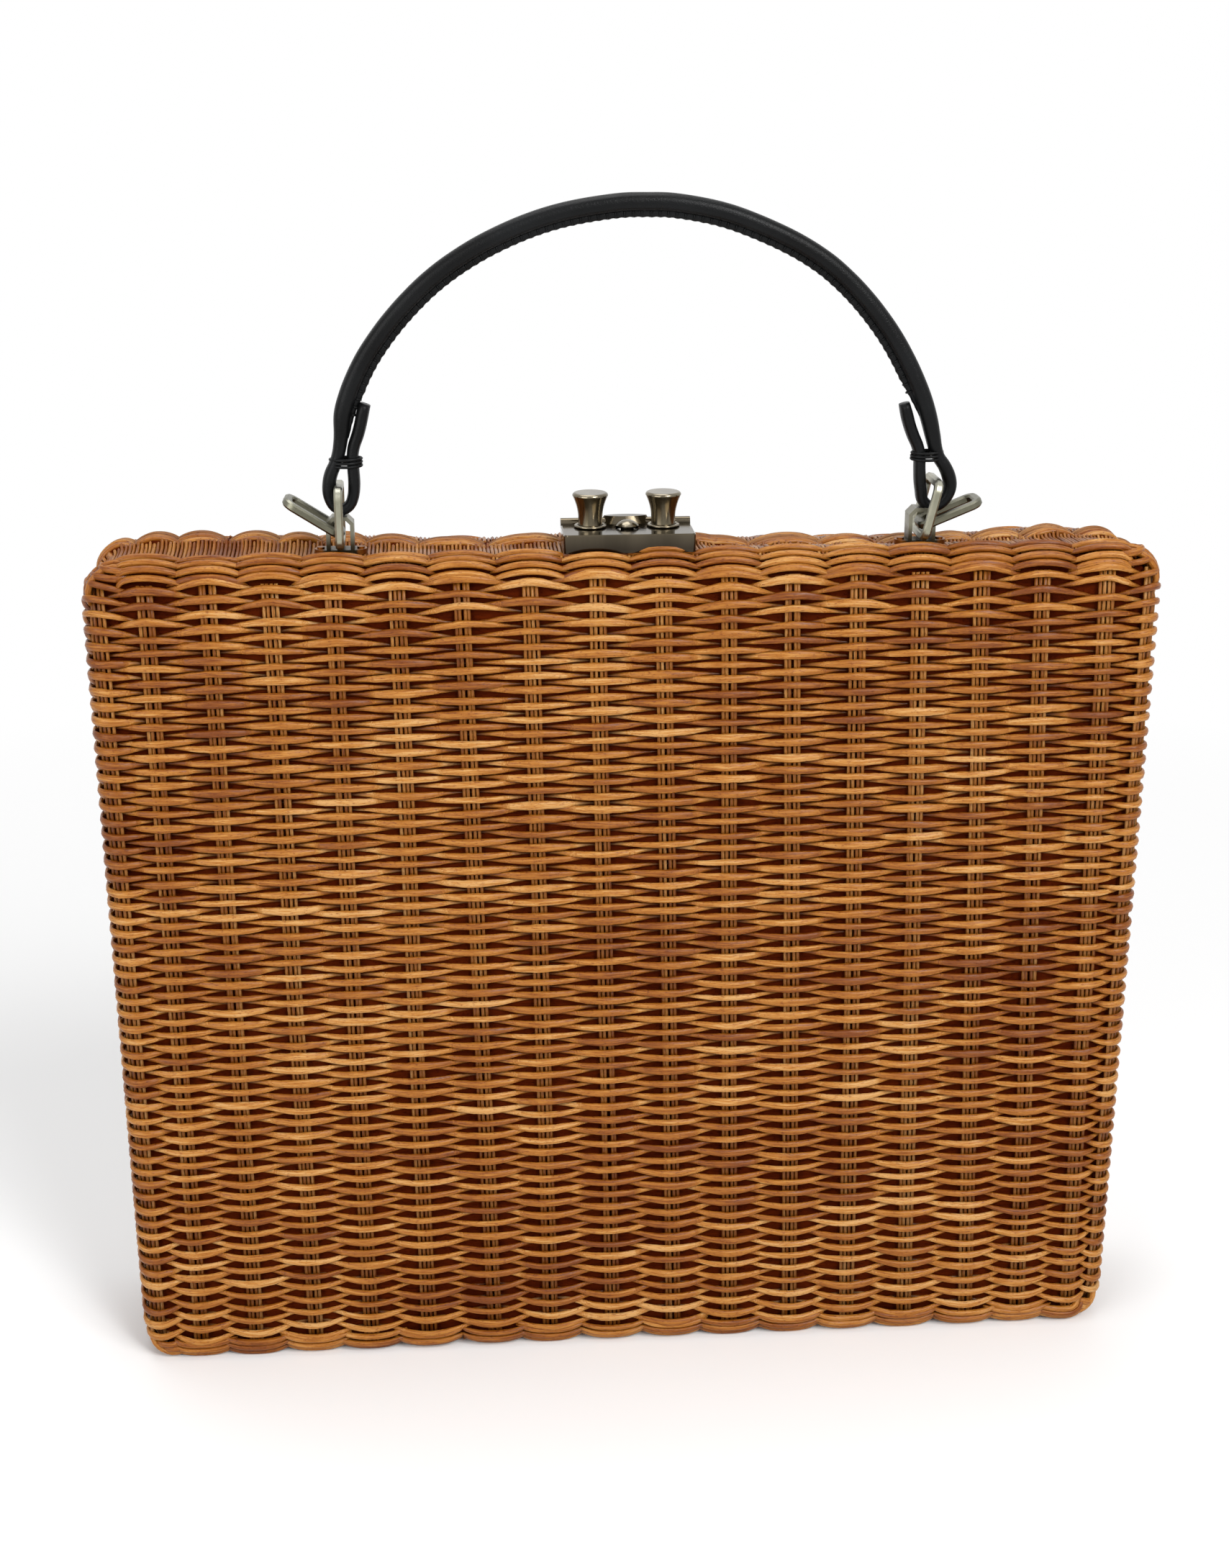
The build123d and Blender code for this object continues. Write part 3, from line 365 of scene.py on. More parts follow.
def woven_rows(heights, per_stake, ring, back=False, span=WEAVE_SPAN, shift=None, bend=1.0):
    """Weavers of one tray: each row passes in front of every second stake, the next row of the others.

    Places along a row count the stakes: 0 and 19 are on the side walls, 1 and 18 at the face's corners.
    With a shift given, all rows pass in front of the same stakes. bend scales the rows' rise and fall.
    """
    steps = np.linspace(*span, int((span[1] - span[0]) * per_stake))
    knots = np.concatenate([[WEAVE_SPAN[0]], np.arange(STAKE_COUNT), [WEAVE_SPAN[1]]])
    places = np.arange(-1, STAKE_COUNT + 2)
    side_run = SIDE_STAKE_Y - BORDER_END
    paths, sides, halves_out, halves_up, tones, shades = [], [], [], [], [], []
    for row, z0 in enumerate(heights):
        half = face_half(z0, back)
        run, line, out = plan(half, face_half(z0, False))
        xs = np.clip(stakes_at(z0), -half + STAKE_GAP, half - STAKE_GAP)
        face = slice(len(run) // 2 - CORNER_STEPS, len(run) // 2 + CORNER_STEPS)
        stake_runs = np.interp(xs, line[face, 0], run[face])
        knot_runs = [[ROW_GAP, side_run], stake_runs, [run[-1] - side_run, run[-1] - ROW_GAP]]
        s = np.interp(steps, knots, np.concatenate(knot_runs))
        x, y = np.interp(s, run, line[:, 0]), np.interp(s, run, line[:, 1])
        nx, ny = np.interp(s, run, out[:, 0]), np.interp(s, run, out[:, 1])
        wave = np.cos(pi * (steps + (row % 2 if shift is None else shift)))
        fullness = np.clip((wave + 0.85) / 1.85, 0, 1) ** 0.8
        if shift is not None:
            fullness = np.maximum(fullness, CORNER_BREADTH)
        swing = WEAVE_SWING * np.sign(wave) * np.abs(wave) ** 0.8
        bow = bend * np.interp(z0, BOW_HEIGHTS, BOWS)
        rough = ROUGH_TOP if z0 > TOP - ROUGH_TOP_DEPTH else ROUGH
        jitter = np.interp(steps, places, rng.normal(0, rough, len(places)))
        girth = np.interp(steps, places, rng.uniform(*GIRTHS, len(places)))
        girth = girth * rng.uniform(0.95, 1.05, len(steps))
        z = z0 + bow * wave + jitter + rng.normal(0, 0.03, len(steps))
        paths.append(np.stack([x + nx * swing, y + ny * swing, z], -1))
        sides.append(np.stack([nx, ny, np.zeros_like(nx)], -1))
        halves_out.append(THICKNESS + THICKNESS_GAIN * np.clip(wave, 0, 1))
        halves_up.append((BREADTH + BREADTH_GAIN * fullness) * girth)
        base, each = rng.random(), rng.random(STAKE_COUNT + 3)
        nearest = np.clip(np.round(steps).astype(int) + 1, 0, len(each) - 1)
        tones.append(0.4 * base + 0.6 * each[nearest])
        # Painted shade where the weaver passes behind the stakes
        shades.append(np.clip((-0.3 - wave) / 0.6, 0, 1))
    batch = strands(
        np.array(paths), np.array(sides), np.array(halves_out), np.array(halves_up), ring,
        np.array(tones), np.array(shades), lit_inside=True,
    )
    return mirrored(batch) if back else batch


# Stake reeds: half thickness and half breadth, sink behind the weave's plane, outset on the side walls,
# and the painted shade on them between the rows by height, where the rows lie more open
REED_THICKNESS, REED_BREADTH = 0.42, 0.45
REED_SINK = 0.2
SIDE_REED_OUTSET = 0.15
REED_SHADE_HEIGHTS, REED_SHADES = [0, 40, 120, 190], [0.75, 0.66, 0.52, 0.30]


def stake_reeds(high, points, ring, back=False):
    """Four upright reeds at each stake, in the plane between the weavers."""
    z = np.linspace(STAKES_FOOT, high, points)
    inner = face_half(z, back) - WEAVE_CORNER
    paths, sides = [], []
    for middle in np.array([stakes_at(height) for height in z]).T:
        for reed_x in STAKE_REEDS:
            along = middle + reed_x
            over = np.clip(np.abs(along) - inner, 0, WEAVE_CORNER * 0.98)
            y = -WEAVE_PLANE + WEAVE_CORNER - np.sqrt(WEAVE_CORNER**2 - over**2)
            x = np.sign(along) * (np.minimum(np.abs(along), inner) + over)
            wander = np.interp(z, np.linspace(STAKES_FOOT, high, 9), rng.normal(0, 0.1, 9))
            paths.append(np.stack([x + wander, y - REED_SINK, z], -1))
            sides.append(np.tile((0.0, -1.0, 0.0), (points, 1)))
    for side in (-1, 1):
        for reed_y in STAKE_REEDS:
            x = side * half_width(z, TOP, WEAVE_INSET - SIDE_REED_OUTSET)
            paths.append(np.stack([x, np.full(points, -SIDE_STAKE_Y + reed_y), z], -1))
            sides.append(np.tile((float(side), 0.0, 0.0), (points, 1)))
    shape = (len(paths), points)
    tone = np.repeat(0.25 + 0.6 * rng.random((len(paths), 1)), points, 1)
    # Painted shade on the stakes between the rows, more towards the foot
    shade = np.broadcast_to(np.interp(z, REED_SHADE_HEIGHTS, REED_SHADES), shape)
    batch = strands(
        np.array(paths), np.array(sides), np.full(shape, REED_THICKNESS), np.full(shape, REED_BREADTH),
        ring, tone, shade,
    )
    return mirrored(batch) if back else batch


FLOAT_SINK = 1.1


def floats(track, centres, half, y, lift, rise, radius, back):
    """Short curved reeds along an outline, one over each centre, sunk at both ends."""
    u = np.linspace(-1, 1, 13)
    paths, ups, tones = [], [], []
    for centre in centres:
        x, z, nx, nz = track.at(centre + u * half)
        height = lift + rng.normal(0, 0.12) + rise * (1 - np.abs(u) ** 2.2) - rise
        depth = y + rng.normal(0, 0.1) - FLOAT_SINK * np.abs(u) ** 3
        paths.append(np.stack([x + nx * height, -depth, z + nz * height], -1))
        ups.append(radius * rng.uniform(0.9, 1.1) * (0.28 + 0.72 * (1 - np.abs(u) ** 3) ** 0.6))
        tones.append(np.full(len(u), 0.08 + 0.62 * rng.random()))
    paths, ups = np.array(paths), np.array(ups)
    # The last argument is painted shade towards the sunk ends
    batch = strands(
        paths, np.broadcast_to((0.0, -1.0, 0.0), paths.shape), ups * 0.95, ups, 8, np.array(tones),
        np.broadcast_to(0.35 * np.abs(u) ** 4, ups.shape),
    )
    return mirrored(batch) if back else batch


# Rods across the wall, from their far ends to the border: depth, lift over the wall's outline, girth
ROD_Y = np.array([-RODS_END, -RODS_END + 1.2, -12.0, -8.0, -6.0, -5.0, -4.45, -4.25])
ROD_LIFT = np.array([-0.9, -0.5, -0.45, -0.45, -0.42, -0.1, 0.5, 0.75])
ROD_GIRTH = np.array([0.8, 1, 1, 1, 1, 1, 0.85, 0.4])
ROD_RADIUS = 0.46


def rods(runs, ring, back=False, fall=0.0):
    """Short rods across the depth of a tray's wall, their rounded ends below the border.

    Along the foot they stay flat. fall lowers their far ends along the top.
    """
    n, m = len(runs), len(ROD_Y)
    x, z, nx, nz = (values[:, None] for values in wall_track.at(runs))
    high = ROD_LIFT - (BACK_SINK if back else 0.0) + rng.normal(0, 0.1, (n, 1))
    end = np.zeros((n, m))
    end[:, -2:] = rng.normal(0, 0.25, (n, 1))
    high = np.where(nz > -0.5, high + end, np.minimum(high, -0.3))
    share = np.clip((-ROD_Y - BACK_LEVEL) / (WEAVE_PLANE - BACK_LEVEL), 0, 1)
    high = high - share * fall * np.clip(nz, 0, 1)
    path = np.stack([x + nx * high, np.broadcast_to(ROD_Y, (n, m)), z + nz * high], -1)
    side = np.repeat(np.stack([nx, 0 * nx, nz], -1), m, 1)
    half = ROD_RADIUS * ROD_GIRTH * rng.uniform(0.85, 1.08, (n, 1))
    tone = np.repeat(0.1 + 0.7 * rng.random((n, 1)), m, 1)
    shade = np.repeat(rng.uniform(0.05, 0.35, (n, 1)), m, 1)
    batch = strands(path, side, half, half, ring, tone, shade)
    return mirrored(batch) if back else batch


# Section of the skin behind the reeds: depth, and inset from the wall's outline
SKIN = [(-21.3, 8.0), (-21.0, 5.4), (-19.8, 2.7), (-17.6, 1.75), (-4.4, 1.75), (-4.4, 1.3),
        (-17.7, 1.3), (-20.1, 2.3), (-21.25, 5.0), (-21.55, 8.0)]


def skin(back=False, fall=0.0):
    """The closed skin behind a tray's reeds, dark with painted shade that shows in the gaps. fall lowers its
    far edge along the top.
    """
    s = np.linspace(0, wall_track.length, 160, endpoint=False)
    rings = []
    for y, inset in SKIN:
        x, z = wall_track.at(s, -inset)[:2]
        drop = fall * np.clip((abs(y) - BACK_LEVEL) / (WEAVE_PLANE - BACK_LEVEL), 0, 1)
        z = z - drop * np.clip((z - TOP / 2) / (TOP / 2), 0, 1)
        x = x * (1 - drop / 2 / HALF_TOP)
        rings.append(np.stack([x, np.full(len(s), y), z], -1))
    batch = plain_batch(np.array(rings)[None], 0.4, 0.2)
    return mirrored(batch) if back else batch


# Materials
def new_material(name):
    """A new node material, its tree and its shader."""
    material = bpy.data.materials.new(name)
    material.use_nodes = True
    return material, material.node_tree, material.node_tree.nodes["Principled BSDF"]


def add_node(tree, kind, inputs=None, **settings):
    """A node with its settings and input values; an input given as a socket is linked."""
    node = tree.nodes.new(kind)
    for key, value in settings.items():
        setattr(node, key, value)
    for key, value in (inputs or {}).items():
        if isinstance(value, bpy.types.NodeSocket):
            tree.links.new(value, node.inputs[key])
        else:
            node.inputs[key].default_value = value
    return node


def ramp(tree, factor, stops):
    """A colour ramp through (place, colour) stops."""
    node = add_node(tree, "ShaderNodeValToRGB", {0: factor})
    elements = node.color_ramp.elements
    elements[0].position, elements[0].color = stops[0][0], (*stops[0][1], 1)
    elements[1].position, elements[1].color = stops[-1][0], (*stops[-1][1], 1)
    for place, colour in stops[1:-1]:
        elements.new(place).color = (*colour, 1)
    return node.outputs["Color"]


def scalar_ramp(tree, factor, low, high, to_low, to_high):
    """A value mapped linearly from low..high to to_low..to_high, clamped."""
    node = add_node(
        tree, "ShaderNodeMapRange",
        {"Value": factor, "From Min": low, "From Max": high, "To Min": to_low, "To Max": to_high},
    )
    return node.outputs["Result"]


def calculated(tree, operation, a, b=0.0):
    """A value from two numbers or sockets."""
    return add_node(tree, "ShaderNodeMath", {0: a, 1: b}, operation=operation).outputs[0]


def scaled(tree, vector, factors):
    """A vector with each of its parts multiplied."""
    return add_node(tree, "ShaderNodeVectorMath", {0: vector, 1: factors}, operation="MULTIPLY").outputs[0]


def noise(tree, vector, scale, detail, roughness=0.5):
    """A value of noise."""
    inputs = {"Vector": vector, "Scale": scale, "Detail": detail, "Roughness": roughness}
    return add_node(tree, "ShaderNodeTexNoise", inputs).outputs["Fac"]


def part(tree, vector, axis):
    """X, Y or Z of a vector."""
    return add_node(tree, "ShaderNodeSeparateXYZ", {0: vector}).outputs[axis]


def add_bump(tree, shader, height, strength, distance):
    """A bump from a height, linked to the shader."""
    bump = add_node(tree, "ShaderNodeBump", {"Height": height, "Strength": strength, "Distance": distance})
    tree.links.new(bump.outputs[0], shader.inputs["Normal"])


def mix_colour(tree, kind, factor, a, b):
    """Two colours mixed."""
    node = add_node(tree, "ShaderNodeMix", data_type="RGBA", blend_type=kind)
    for socket, value in ((node.inputs[0], factor), (node.inputs[6], a), (node.inputs[7], b)):
        if isinstance(value, bpy.types.NodeSocket):
            tree.links.new(value, socket)
        else:
            socket.default_value = value
    return node.outputs[2]


SPECK_COLOUR = (0.40, 0.20, 0.10, 1)


def wicker(name, stops, gap, gloss, specular=0.25):
    """Split reed: long streaks along each strand, a tone of its own, specks, and painted shade towards the
    gap colour.
    """
    material, tree, shader = new_material(name)
    grain = add_node(tree, "ShaderNodeAttribute", attribute_name="grain").outputs["Vector"]
    tone = add_node(tree, "ShaderNodeAttribute", attribute_name="tone").outputs["Fac"]
    shade = add_node(tree, "ShaderNodeAttribute", attribute_name="shade").outputs["Fac"]
    streak = noise(tree, scaled(tree, grain, (0.16, 2.6, 1.0)), 1.0, 3.0, 0.6)
    speck = noise(tree, scaled(tree, grain, (0.5, 1.8, 1.0)), 2.0, 2.0, 0.7)
    patch = noise(tree, add_node(tree, "ShaderNodeTexCoord").outputs["Object"], 26.0, 2.0)
    spread = calculated(tree, "ADD", scalar_ramp(tree, streak, 0.3, 0.7, -0.34, 0.34), tone)
    spread = calculated(tree, "ADD", scalar_ramp(tree, patch, 0.35, 0.65, -0.14, 0.14), spread)
    colour = ramp(tree, spread, stops)
    dark = scalar_ramp(tree, speck, 0.56, 0.68, 0.0, 0.75)
    colour = mix_colour(tree, "MULTIPLY", dark, colour, SPECK_COLOUR)
    # Painted shade: the shade attribute mixes in the gap colour where a reed lies behind or under others
    colour = mix_colour(tree, "MIX", scalar_ramp(tree, shade, 0.0, 1.0, 0.0, 0.92), colour, gap)
    tree.links.new(colour, shader.inputs["Base Color"])
    roughness = scalar_ramp(tree, streak, 0.2, 0.8, gloss - 0.1, gloss + 0.16)
    tree.links.new(roughness, shader.inputs["Roughness"])
    add_bump(tree, shader, streak, 0.6, 0.00028)
    shader.inputs["Specular IOR Level"].default_value = specular
    return material


def leather(name):
    """Black leather: fine pebble grain, soft creases and a satin face."""
    material, tree, shader = new_material(name)
    place = add_node(tree, "ShaderNodeTexCoord").outputs["Object"]
    pebble = add_node(
        tree, "ShaderNodeTexVoronoi", {"Vector": place, "Scale": 1500.0}, feature="DISTANCE_TO_EDGE"
    ).outputs["Distance"]
    crease = noise(tree, place, 260.0, 5.0, 0.65)
    cloud = noise(tree, place, 60.0, 3.0)
    colour = ramp(tree, cloud, [(0.3, (0.003, 0.003, 0.003)), (0.7, (0.007, 0.0075, 0.008))])
    tree.links.new(colour, shader.inputs["Base Color"])
    tree.links.new(scalar_ramp(tree, crease, 0.3, 0.7, 0.26, 0.40), shader.inputs["Roughness"])
    shader.inputs["Specular IOR Level"].default_value = 0.11
    height = calculated(tree, "ADD", scalar_ramp(tree, pebble, 0.0, 0.12, 0.0, 0.5), crease)
    add_bump(tree, shader, height, 0.2, 0.0002)
    return material


def metal(name, colour, dull, flank_shade, rough, scale, stretch=(1.0, 1.0, 1.0), low_shade=None, ends=None):
    """Plated metal: cloudy tarnish, painted shade on the flanks that don't face up, and fine rub marks.

    low_shade is (low, high, colour): painted shade that darkens the plating below those heights.
    ends is (middles, (from, to), (top, over), colour): under that top, it takes the colour past those
    distances along X from the middles.
    """
    material, tree, shader = new_material(name)
    coordinates = add_node(tree, "ShaderNodeTexCoord")
    place = coordinates.outputs["Object"]
    stretched = scaled(tree, place, stretch)
    cloud = noise(tree, stretched, 140.0, 4.0)
    rub = noise(tree, stretched, scale, 5.0, 0.7)
    plating = ramp(tree, cloud, [(0.35, dull), (0.62, colour)])
    # Painted shade: faces that don't look up take the flank colour multiplied in
    steep = scalar_ramp(tree, part(tree, coordinates.outputs["Normal"], "Z"), 0.1, 0.9, 1.0, 0.0)
    plating = mix_colour(tree, "MULTIPLY", steep, plating, (*flank_shade, 1))
    if low_shade is not None:
        # Painted shade: the plating darkens below these heights, near the trays' top
        low, high, low_shade_colour = low_shade
        share = scalar_ramp(tree, part(tree, place, "Z"), low, high, 0.9, 0.0)
        plating = mix_colour(tree, "MULTIPLY", share, plating, (*low_shade_colour, 1))
    if ends is not None:
        middles, reach, level, end_colour = ends
        across = part(tree, place, "X")
        gaps = [calculated(tree, "ABSOLUTE", calculated(tree, "SUBTRACT", across, x)) for x in middles]
        beside = scalar_ramp(tree, calculated(tree, "MINIMUM", *gaps), *reach, 0.0, 1.0)
        under = scalar_ramp(tree, part(tree, place, "Z"), *level, 1.0, 0.0)
        share = calculated(tree, "MULTIPLY", beside, under)
        plating = mix_colour(tree, "MIX", share, plating, (*end_colour, 1))
    tree.links.new(plating, shader.inputs["Base Color"])
    roughness = scalar_ramp(tree, rub, 0.25, 0.75, rough * 0.75, rough * 1.35)
    tree.links.new(roughness, shader.inputs["Roughness"])
    shader.inputs["Metallic"].default_value = 1.0
    add_bump(tree, shader, rub, 0.12, 0.0001)
    return material


GOLD_STOPS = [
    (0.0, (0.150, 0.036, 0.0025)),
    (0.3, (0.245, 0.075, 0.007)),
    (0.6, (0.340, 0.125, 0.016)),
    (0.85, (0.435, 0.19, 0.040)),
    (1.0, (0.51, 0.27, 0.088)),
]
# A darker copy of the reed's colours for the back border: painted shade, as it lies behind the front border
SHADED_STOPS = [
    (0.0, (0.13, 0.042, 0.008)),
    (0.5, (0.24, 0.092, 0.018)),
    (1.0, (0.38, 0.18, 0.055)),
]
reed = wicker("wicker_reed", GOLD_STOPS, (0.040, 0.0048, 0.0003, 1), 0.32)
shaded_reed = wicker("wicker_shaded", SHADED_STOPS, (0.040, 0.006, 0.0006, 1), 0.40)
# The cores' dark colour is painted shade: it fills the gaps between the reeds
shade_core = wicker(
    "wicker_shade_core", [(0.0, (0.045, 0.0045, 0.0003)), (1.0, (0.12, 0.016, 0.0012))],
    (0.038, 0.0035, 0.0003, 1), 0.8, 0.03,
)
black = leather("leather_black")
# Painted shade multiplied into the metals' steep flanks
FLANK_SHADE = (0.78, 0.77, 0.70)
BRUSHED = (1.0, 1.0, 0.1)
BRACKET_MIDDLES = (-0.0685, 0.0711)
satin = metal("nickel_satin", (0.44, 0.43, 0.36), (0.35, 0.345, 0.285), FLANK_SHADE, 0.34, 900.0)
# A darker copy of the satin nickel for the strap rings: painted shade
shaded_strap_satin = metal("nickel_strap_shaded", (0.20, 0.195, 0.155), (0.16, 0.155, 0.12), FLANK_SHADE, 0.34, 900.0)
# Painted shade: the bracket darkens towards its base on the trays' top
bracket_nickel = metal(
    "nickel_bracket", (0.30, 0.29, 0.24), (0.24, 0.23, 0.19), FLANK_SHADE, 0.36, 900.0,
    low_shade=(0.2135, 0.2165, (0.22, 0.17, 0.12)),
    ends=(BRACKET_MIDDLES, (0.0036, 0.0042), (0.2140, 0.2144), (0.22, 0.08, 0.015)),
)
# Painted shade: the case darkens towards its bottom
case_metal = metal(
    "nickel_case", (0.125, 0.102, 0.068), (0.088, 0.072, 0.048), (0.93, 0.94, 0.98), 0.13, 700.0,
    BRUSHED, low_shade=(0.2125, 0.2158, (0.42, 0.40, 0.42)),
)
polished = metal(
    "nickel_polished", (0.27, 0.235, 0.175), (0.18, 0.155, 0.115), (0.66, 0.64, 0.58), 0.17, 700.0,
    BRUSHED,
)
steel = metal("spring_steel", (0.42, 0.42, 0.42), (0.3, 0.3, 0.3), (0.7, 0.7, 0.7), 0.25, 1200.0)

# Front tray
face_track = Track(HALF_TOP, HALF_FOOT, TOP, 0.0, TOP_CORNER, FOOT_CORNER)
wall_track = Track(
    HALF_TOP - WALL_INSET, HALF_FOOT - WALL_INSET, WALL_TOP, 0.0, TOP_CORNER - 1, FOOT_CORNER
)
row_heights = np.arange(FIRST_ROW, TOP - ROWS_END, ROW_PITCH)
middle_row = len(row_heights) // 2 // 2 * 2
corner_heights = np.arange(row_heights[-1] + ROW_PITCH, TOP - CORNER_ROWS_END, ROW_PITCH)


def corner_rows(heights, per_stake, ring, back=False):
    """Rows past the weave's first or last, which only show at two corners of the face."""
    return [
        woven_rows(heights, per_stake, ring, back, span, shift, CORNER_BEND) for span, shift in CORNER_SPANS
    ]


lower_weave = [woven_rows(row_heights[:middle_row], 9, 8)] + corner_rows(FOOT_CORNER_ROWS, 12, 8)
upper_weave = [woven_rows(row_heights[middle_row:], 9, 8)] + corner_rows(corner_heights, 12, 8)
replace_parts(build("front_weave_lower", lower_weave, reed, "front_half"), "front_tray")
build("front_weave_upper", upper_weave, reed, "front_half")
build("front_stakes", [stake_reeds(TOP - STAKES_END, 26, 6)], reed, "front_half")

# Turned-over rows round the top and the foot of the faces: where they lie, their half lengths and radii,
# and depth, lift and rise of each layer. The outer layers leave out the corners.
RIM_MARGIN = 1.2
top_limit, foot_limit = HALF_TOP - RIM_MARGIN, HALF_FOOT - RIM_MARGIN
top_runs = face_track.run_at_top(np.clip(stakes_at(TOP - 2), -top_limit, top_limit))
foot_runs = face_track.run_at_foot(np.clip(stakes_at(2.0), -foot_limit, foot_limit))
TOP_FLOAT, TOP_RADIUS = 9.4, 0.86
FOOT_FLOAT, FOOT_RADIUS = 9.2, 0.84
TOP_LAYERS = [(18.6, 0.1, 1.7), (21.0, -0.45, 2.0), (22.5, -1.9, 2.3), (23.25, -3.6, 2.3)]
FOOT_LAYERS = [(19.3, -0.75, 1.2), (21.6, -1.0, 1.5), (23.0, -2.4, 1.6), (23.35, -4.2, 1.5)]
OUTER_LAYERS = 22


def rims(back=False):
    """The turned-over rows round the top and the foot of a tray's face."""
    fall = BACK_FALL if back else 0.0
    batches = []
    for runs, layers, half, radius, lower in (
        (top_runs, TOP_LAYERS, TOP_FLOAT, TOP_RADIUS, fall),
        (foot_runs, FOOT_LAYERS, FOOT_FLOAT, FOOT_RADIUS, 0.0),
    ):
        for y, lift, rise in layers:
            kept = runs[1:-1] if y > OUTER_LAYERS else runs
            batches.append(floats(face_track, kept, half, y, lift - lower, rise, radius, back))
    return batches


build("front_rim", rims(), reed, "front_half")


def rod_runs(pitch):
    """Runs of the rods along the top and the foot, round the corners to where the weavers end."""
    top = wall_track.s[wall_track.nz > 0.3]
    foot = wall_track.s[wall_track.nz < -0.3]
    foot = np.where(foot > wall_track.length / 2, foot - wall_track.length, foot)
    return np.concatenate([np.arange(top.min(), top.max(), pitch), np.arange(foot.min(), foot.max(), pitch)])


FRONT_ROD_PITCH, BACK_ROD_PITCH = 0.95, 1.05
build("front_strip", [rods(rod_runs(FRONT_ROD_PITCH), 6)], reed, "front_half")
build("front_shade_core", [skin()], shade_core, "front_half")

# Back tray, and how far its rods and its skin fall along the top
ROD_FALL, SKIN_FALL = 2.6, 2.8
back_rows = np.arange(FIRST_ROW, BACK_TOP - ROWS_END, ROW_PITCH)
back_corner_heights = np.arange(back_rows[-1] + ROW_PITCH, BACK_TOP - CORNER_ROWS_END, ROW_PITCH)
back_corners = np.concatenate([FOOT_CORNER_ROWS, back_corner_heights])
back_weave = [woven_rows(back_rows, 7, 6, back=True)] + corner_rows(back_corners, 10, 6, back=True)
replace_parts(build("back_weave", back_weave, reed, "back_half"), "back_tray")
build("back_stakes", [stake_reeds(BACK_TOP - STAKES_END, 20, 5, back=True)], reed, "back_half")
build("back_rim", rims(back=True), reed, "back_half")
build("back_strip", [rods(rod_runs(BACK_ROD_PITCH), 5, back=True, fall=ROD_FALL)], reed, "back_half")
build("back_shade_core", [skin(back=True, fall=SKIN_FALL)], shade_core, "back_half")

# Borders: outset and foot of their outline, pitch of their arches on the sides and along the foot, how far
# they reach along the foot, and the share of the outline where the right side's start and the left side's end
BORDER_OUTSET = 0.2
BORDER_FOOT = 2.9
SIDE_PITCH, FOOT_PITCH = 14.2, 14.0
FOOT_REACH = 112.0
RIGHT_FROM, LEFT_TO = 0.13, 0.87
border_track = Track(
    HALF_TOP + BORDER_OUTSET, HALF_FOOT + BORDER_OUTSET, WALL_TOP, BORDER_FOOT, TOP_CORNER - 1, FOOT_CORNER
)


def border_centres():
    """Runs and pitches of the border's arches: along the foot, up the right, along the top, down the left."""
    foot = border_track.run_at_foot(np.arange(-FOOT_REACH, FOOT_REACH + 1, FOOT_PITCH))
    top = border_track.run_at_top(np.array(BORDER_PEAKS))
    right = np.arange(top[0] - SIDE_PITCH, border_track.length * RIGHT_FROM, -SIDE_PITCH)[::-1]
    left = np.arange(top[-1] + SIDE_PITCH, border_track.length * LEFT_TO, SIDE_PITCH)
    gaps = [np.full(len(foot), FOOT_PITCH), np.full(len(right), SIDE_PITCH), np.abs(np.gradient(top)),
            np.full(len(left), SIDE_PITCH)]
    return np.concatenate([foot, right, top, left]), np.concatenate(gaps)


border_runs, border_gaps = border_centres()


def border_strand(y_from, y_to, low, high, reach, radius, shade, back=False):
    """One strand of a border: an arch over each place, its far end tucked under the next. shade is painted
    shade all along it, with more towards both ends.
    """
    u = np.linspace(-1, 1, 21)
    paths, sides, ups, tones = [], [], [], []
    for centre, gap in zip(border_runs, border_gaps):
        x, z, nx, nz = border_track.at(centre - u * gap * 0.5 * reach)
        calm = 1 - 0.8 * np.clip(-nz, 0, 1)
        arch = low + (high - low) * (1 - np.abs(u - 0.06) ** 2.1)
        arch = (arch + rng.normal(0, 0.12)) * calm
        y = y_from + (y_to - y_from) * (u + 1) / 2
        paths.append(np.stack([x + nx * arch, -y, z + nz * arch], -1))
        sides.append(np.stack([nx, 0 * nx, nz], -1))
        ups.append(radius * rng.uniform(0.92, 1.08) * (0.45 + 0.55 * (1 - np.abs(u) ** 4)))
        tones.append(np.full(len(u), 0.25 + 0.6 * rng.random()))
    ups = np.array(ups)
    batch = strands(
        np.array(paths), np.array(sides), ups * 0.9, ups, 8, np.array(tones),
        np.broadcast_to(shade + 0.3 * np.abs(u) ** 4, ups.shape),
    )
    return mirrored(batch) if back else batch


# The last number of each strand is the painted shade all along it
front_border = build(
    "front_border_reed",
    [
        border_strand(3.5, 2.0, -1.3, 0.75, 1.16, 0.86, 0.0),
        border_strand(2.6, 3.1, -1.6, -0.1, 1.05, 0.8, 0.3),
        border_strand(0.8, 0.6, -1.0, 1.0, 1.12, 0.88, 0.15),
        border_strand(1.8, 1.6, -1.3, 0.2, 1.1, 0.8, 0.35),
    ],
    reed, "front_half",
)
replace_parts(front_border, "front_border")
back_border = build(
    "back_border_reed",
    [
        border_strand(1.3, 1.2, -1.0, 1.1, 1.1, 0.9, 0.1, back=True),
        border_strand(2.0, 3.3, -1.3, 0.9, 1.16, 0.86, 0.0, back=True),
        border_strand(2.2, 2.4, -1.3, 0.1, 1.1, 0.8, 0.3, back=True),
    ],
    # Painted shade: the back border takes the darker copy of the reed
    shaded_reed, "back_half",
)
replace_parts(back_border, "back_border")

# Section of the core under the arches, its rise with them, and its start behind the parting plane
BORDER_CORE = [(0, 5.2), (0, 0.9), (-0.35, 0.5), (-3.35, 0.5), (-3.7, 0.9), (-3.7, 5.2)]
CORE_RISE = 1.15
CORE_START = 0.12


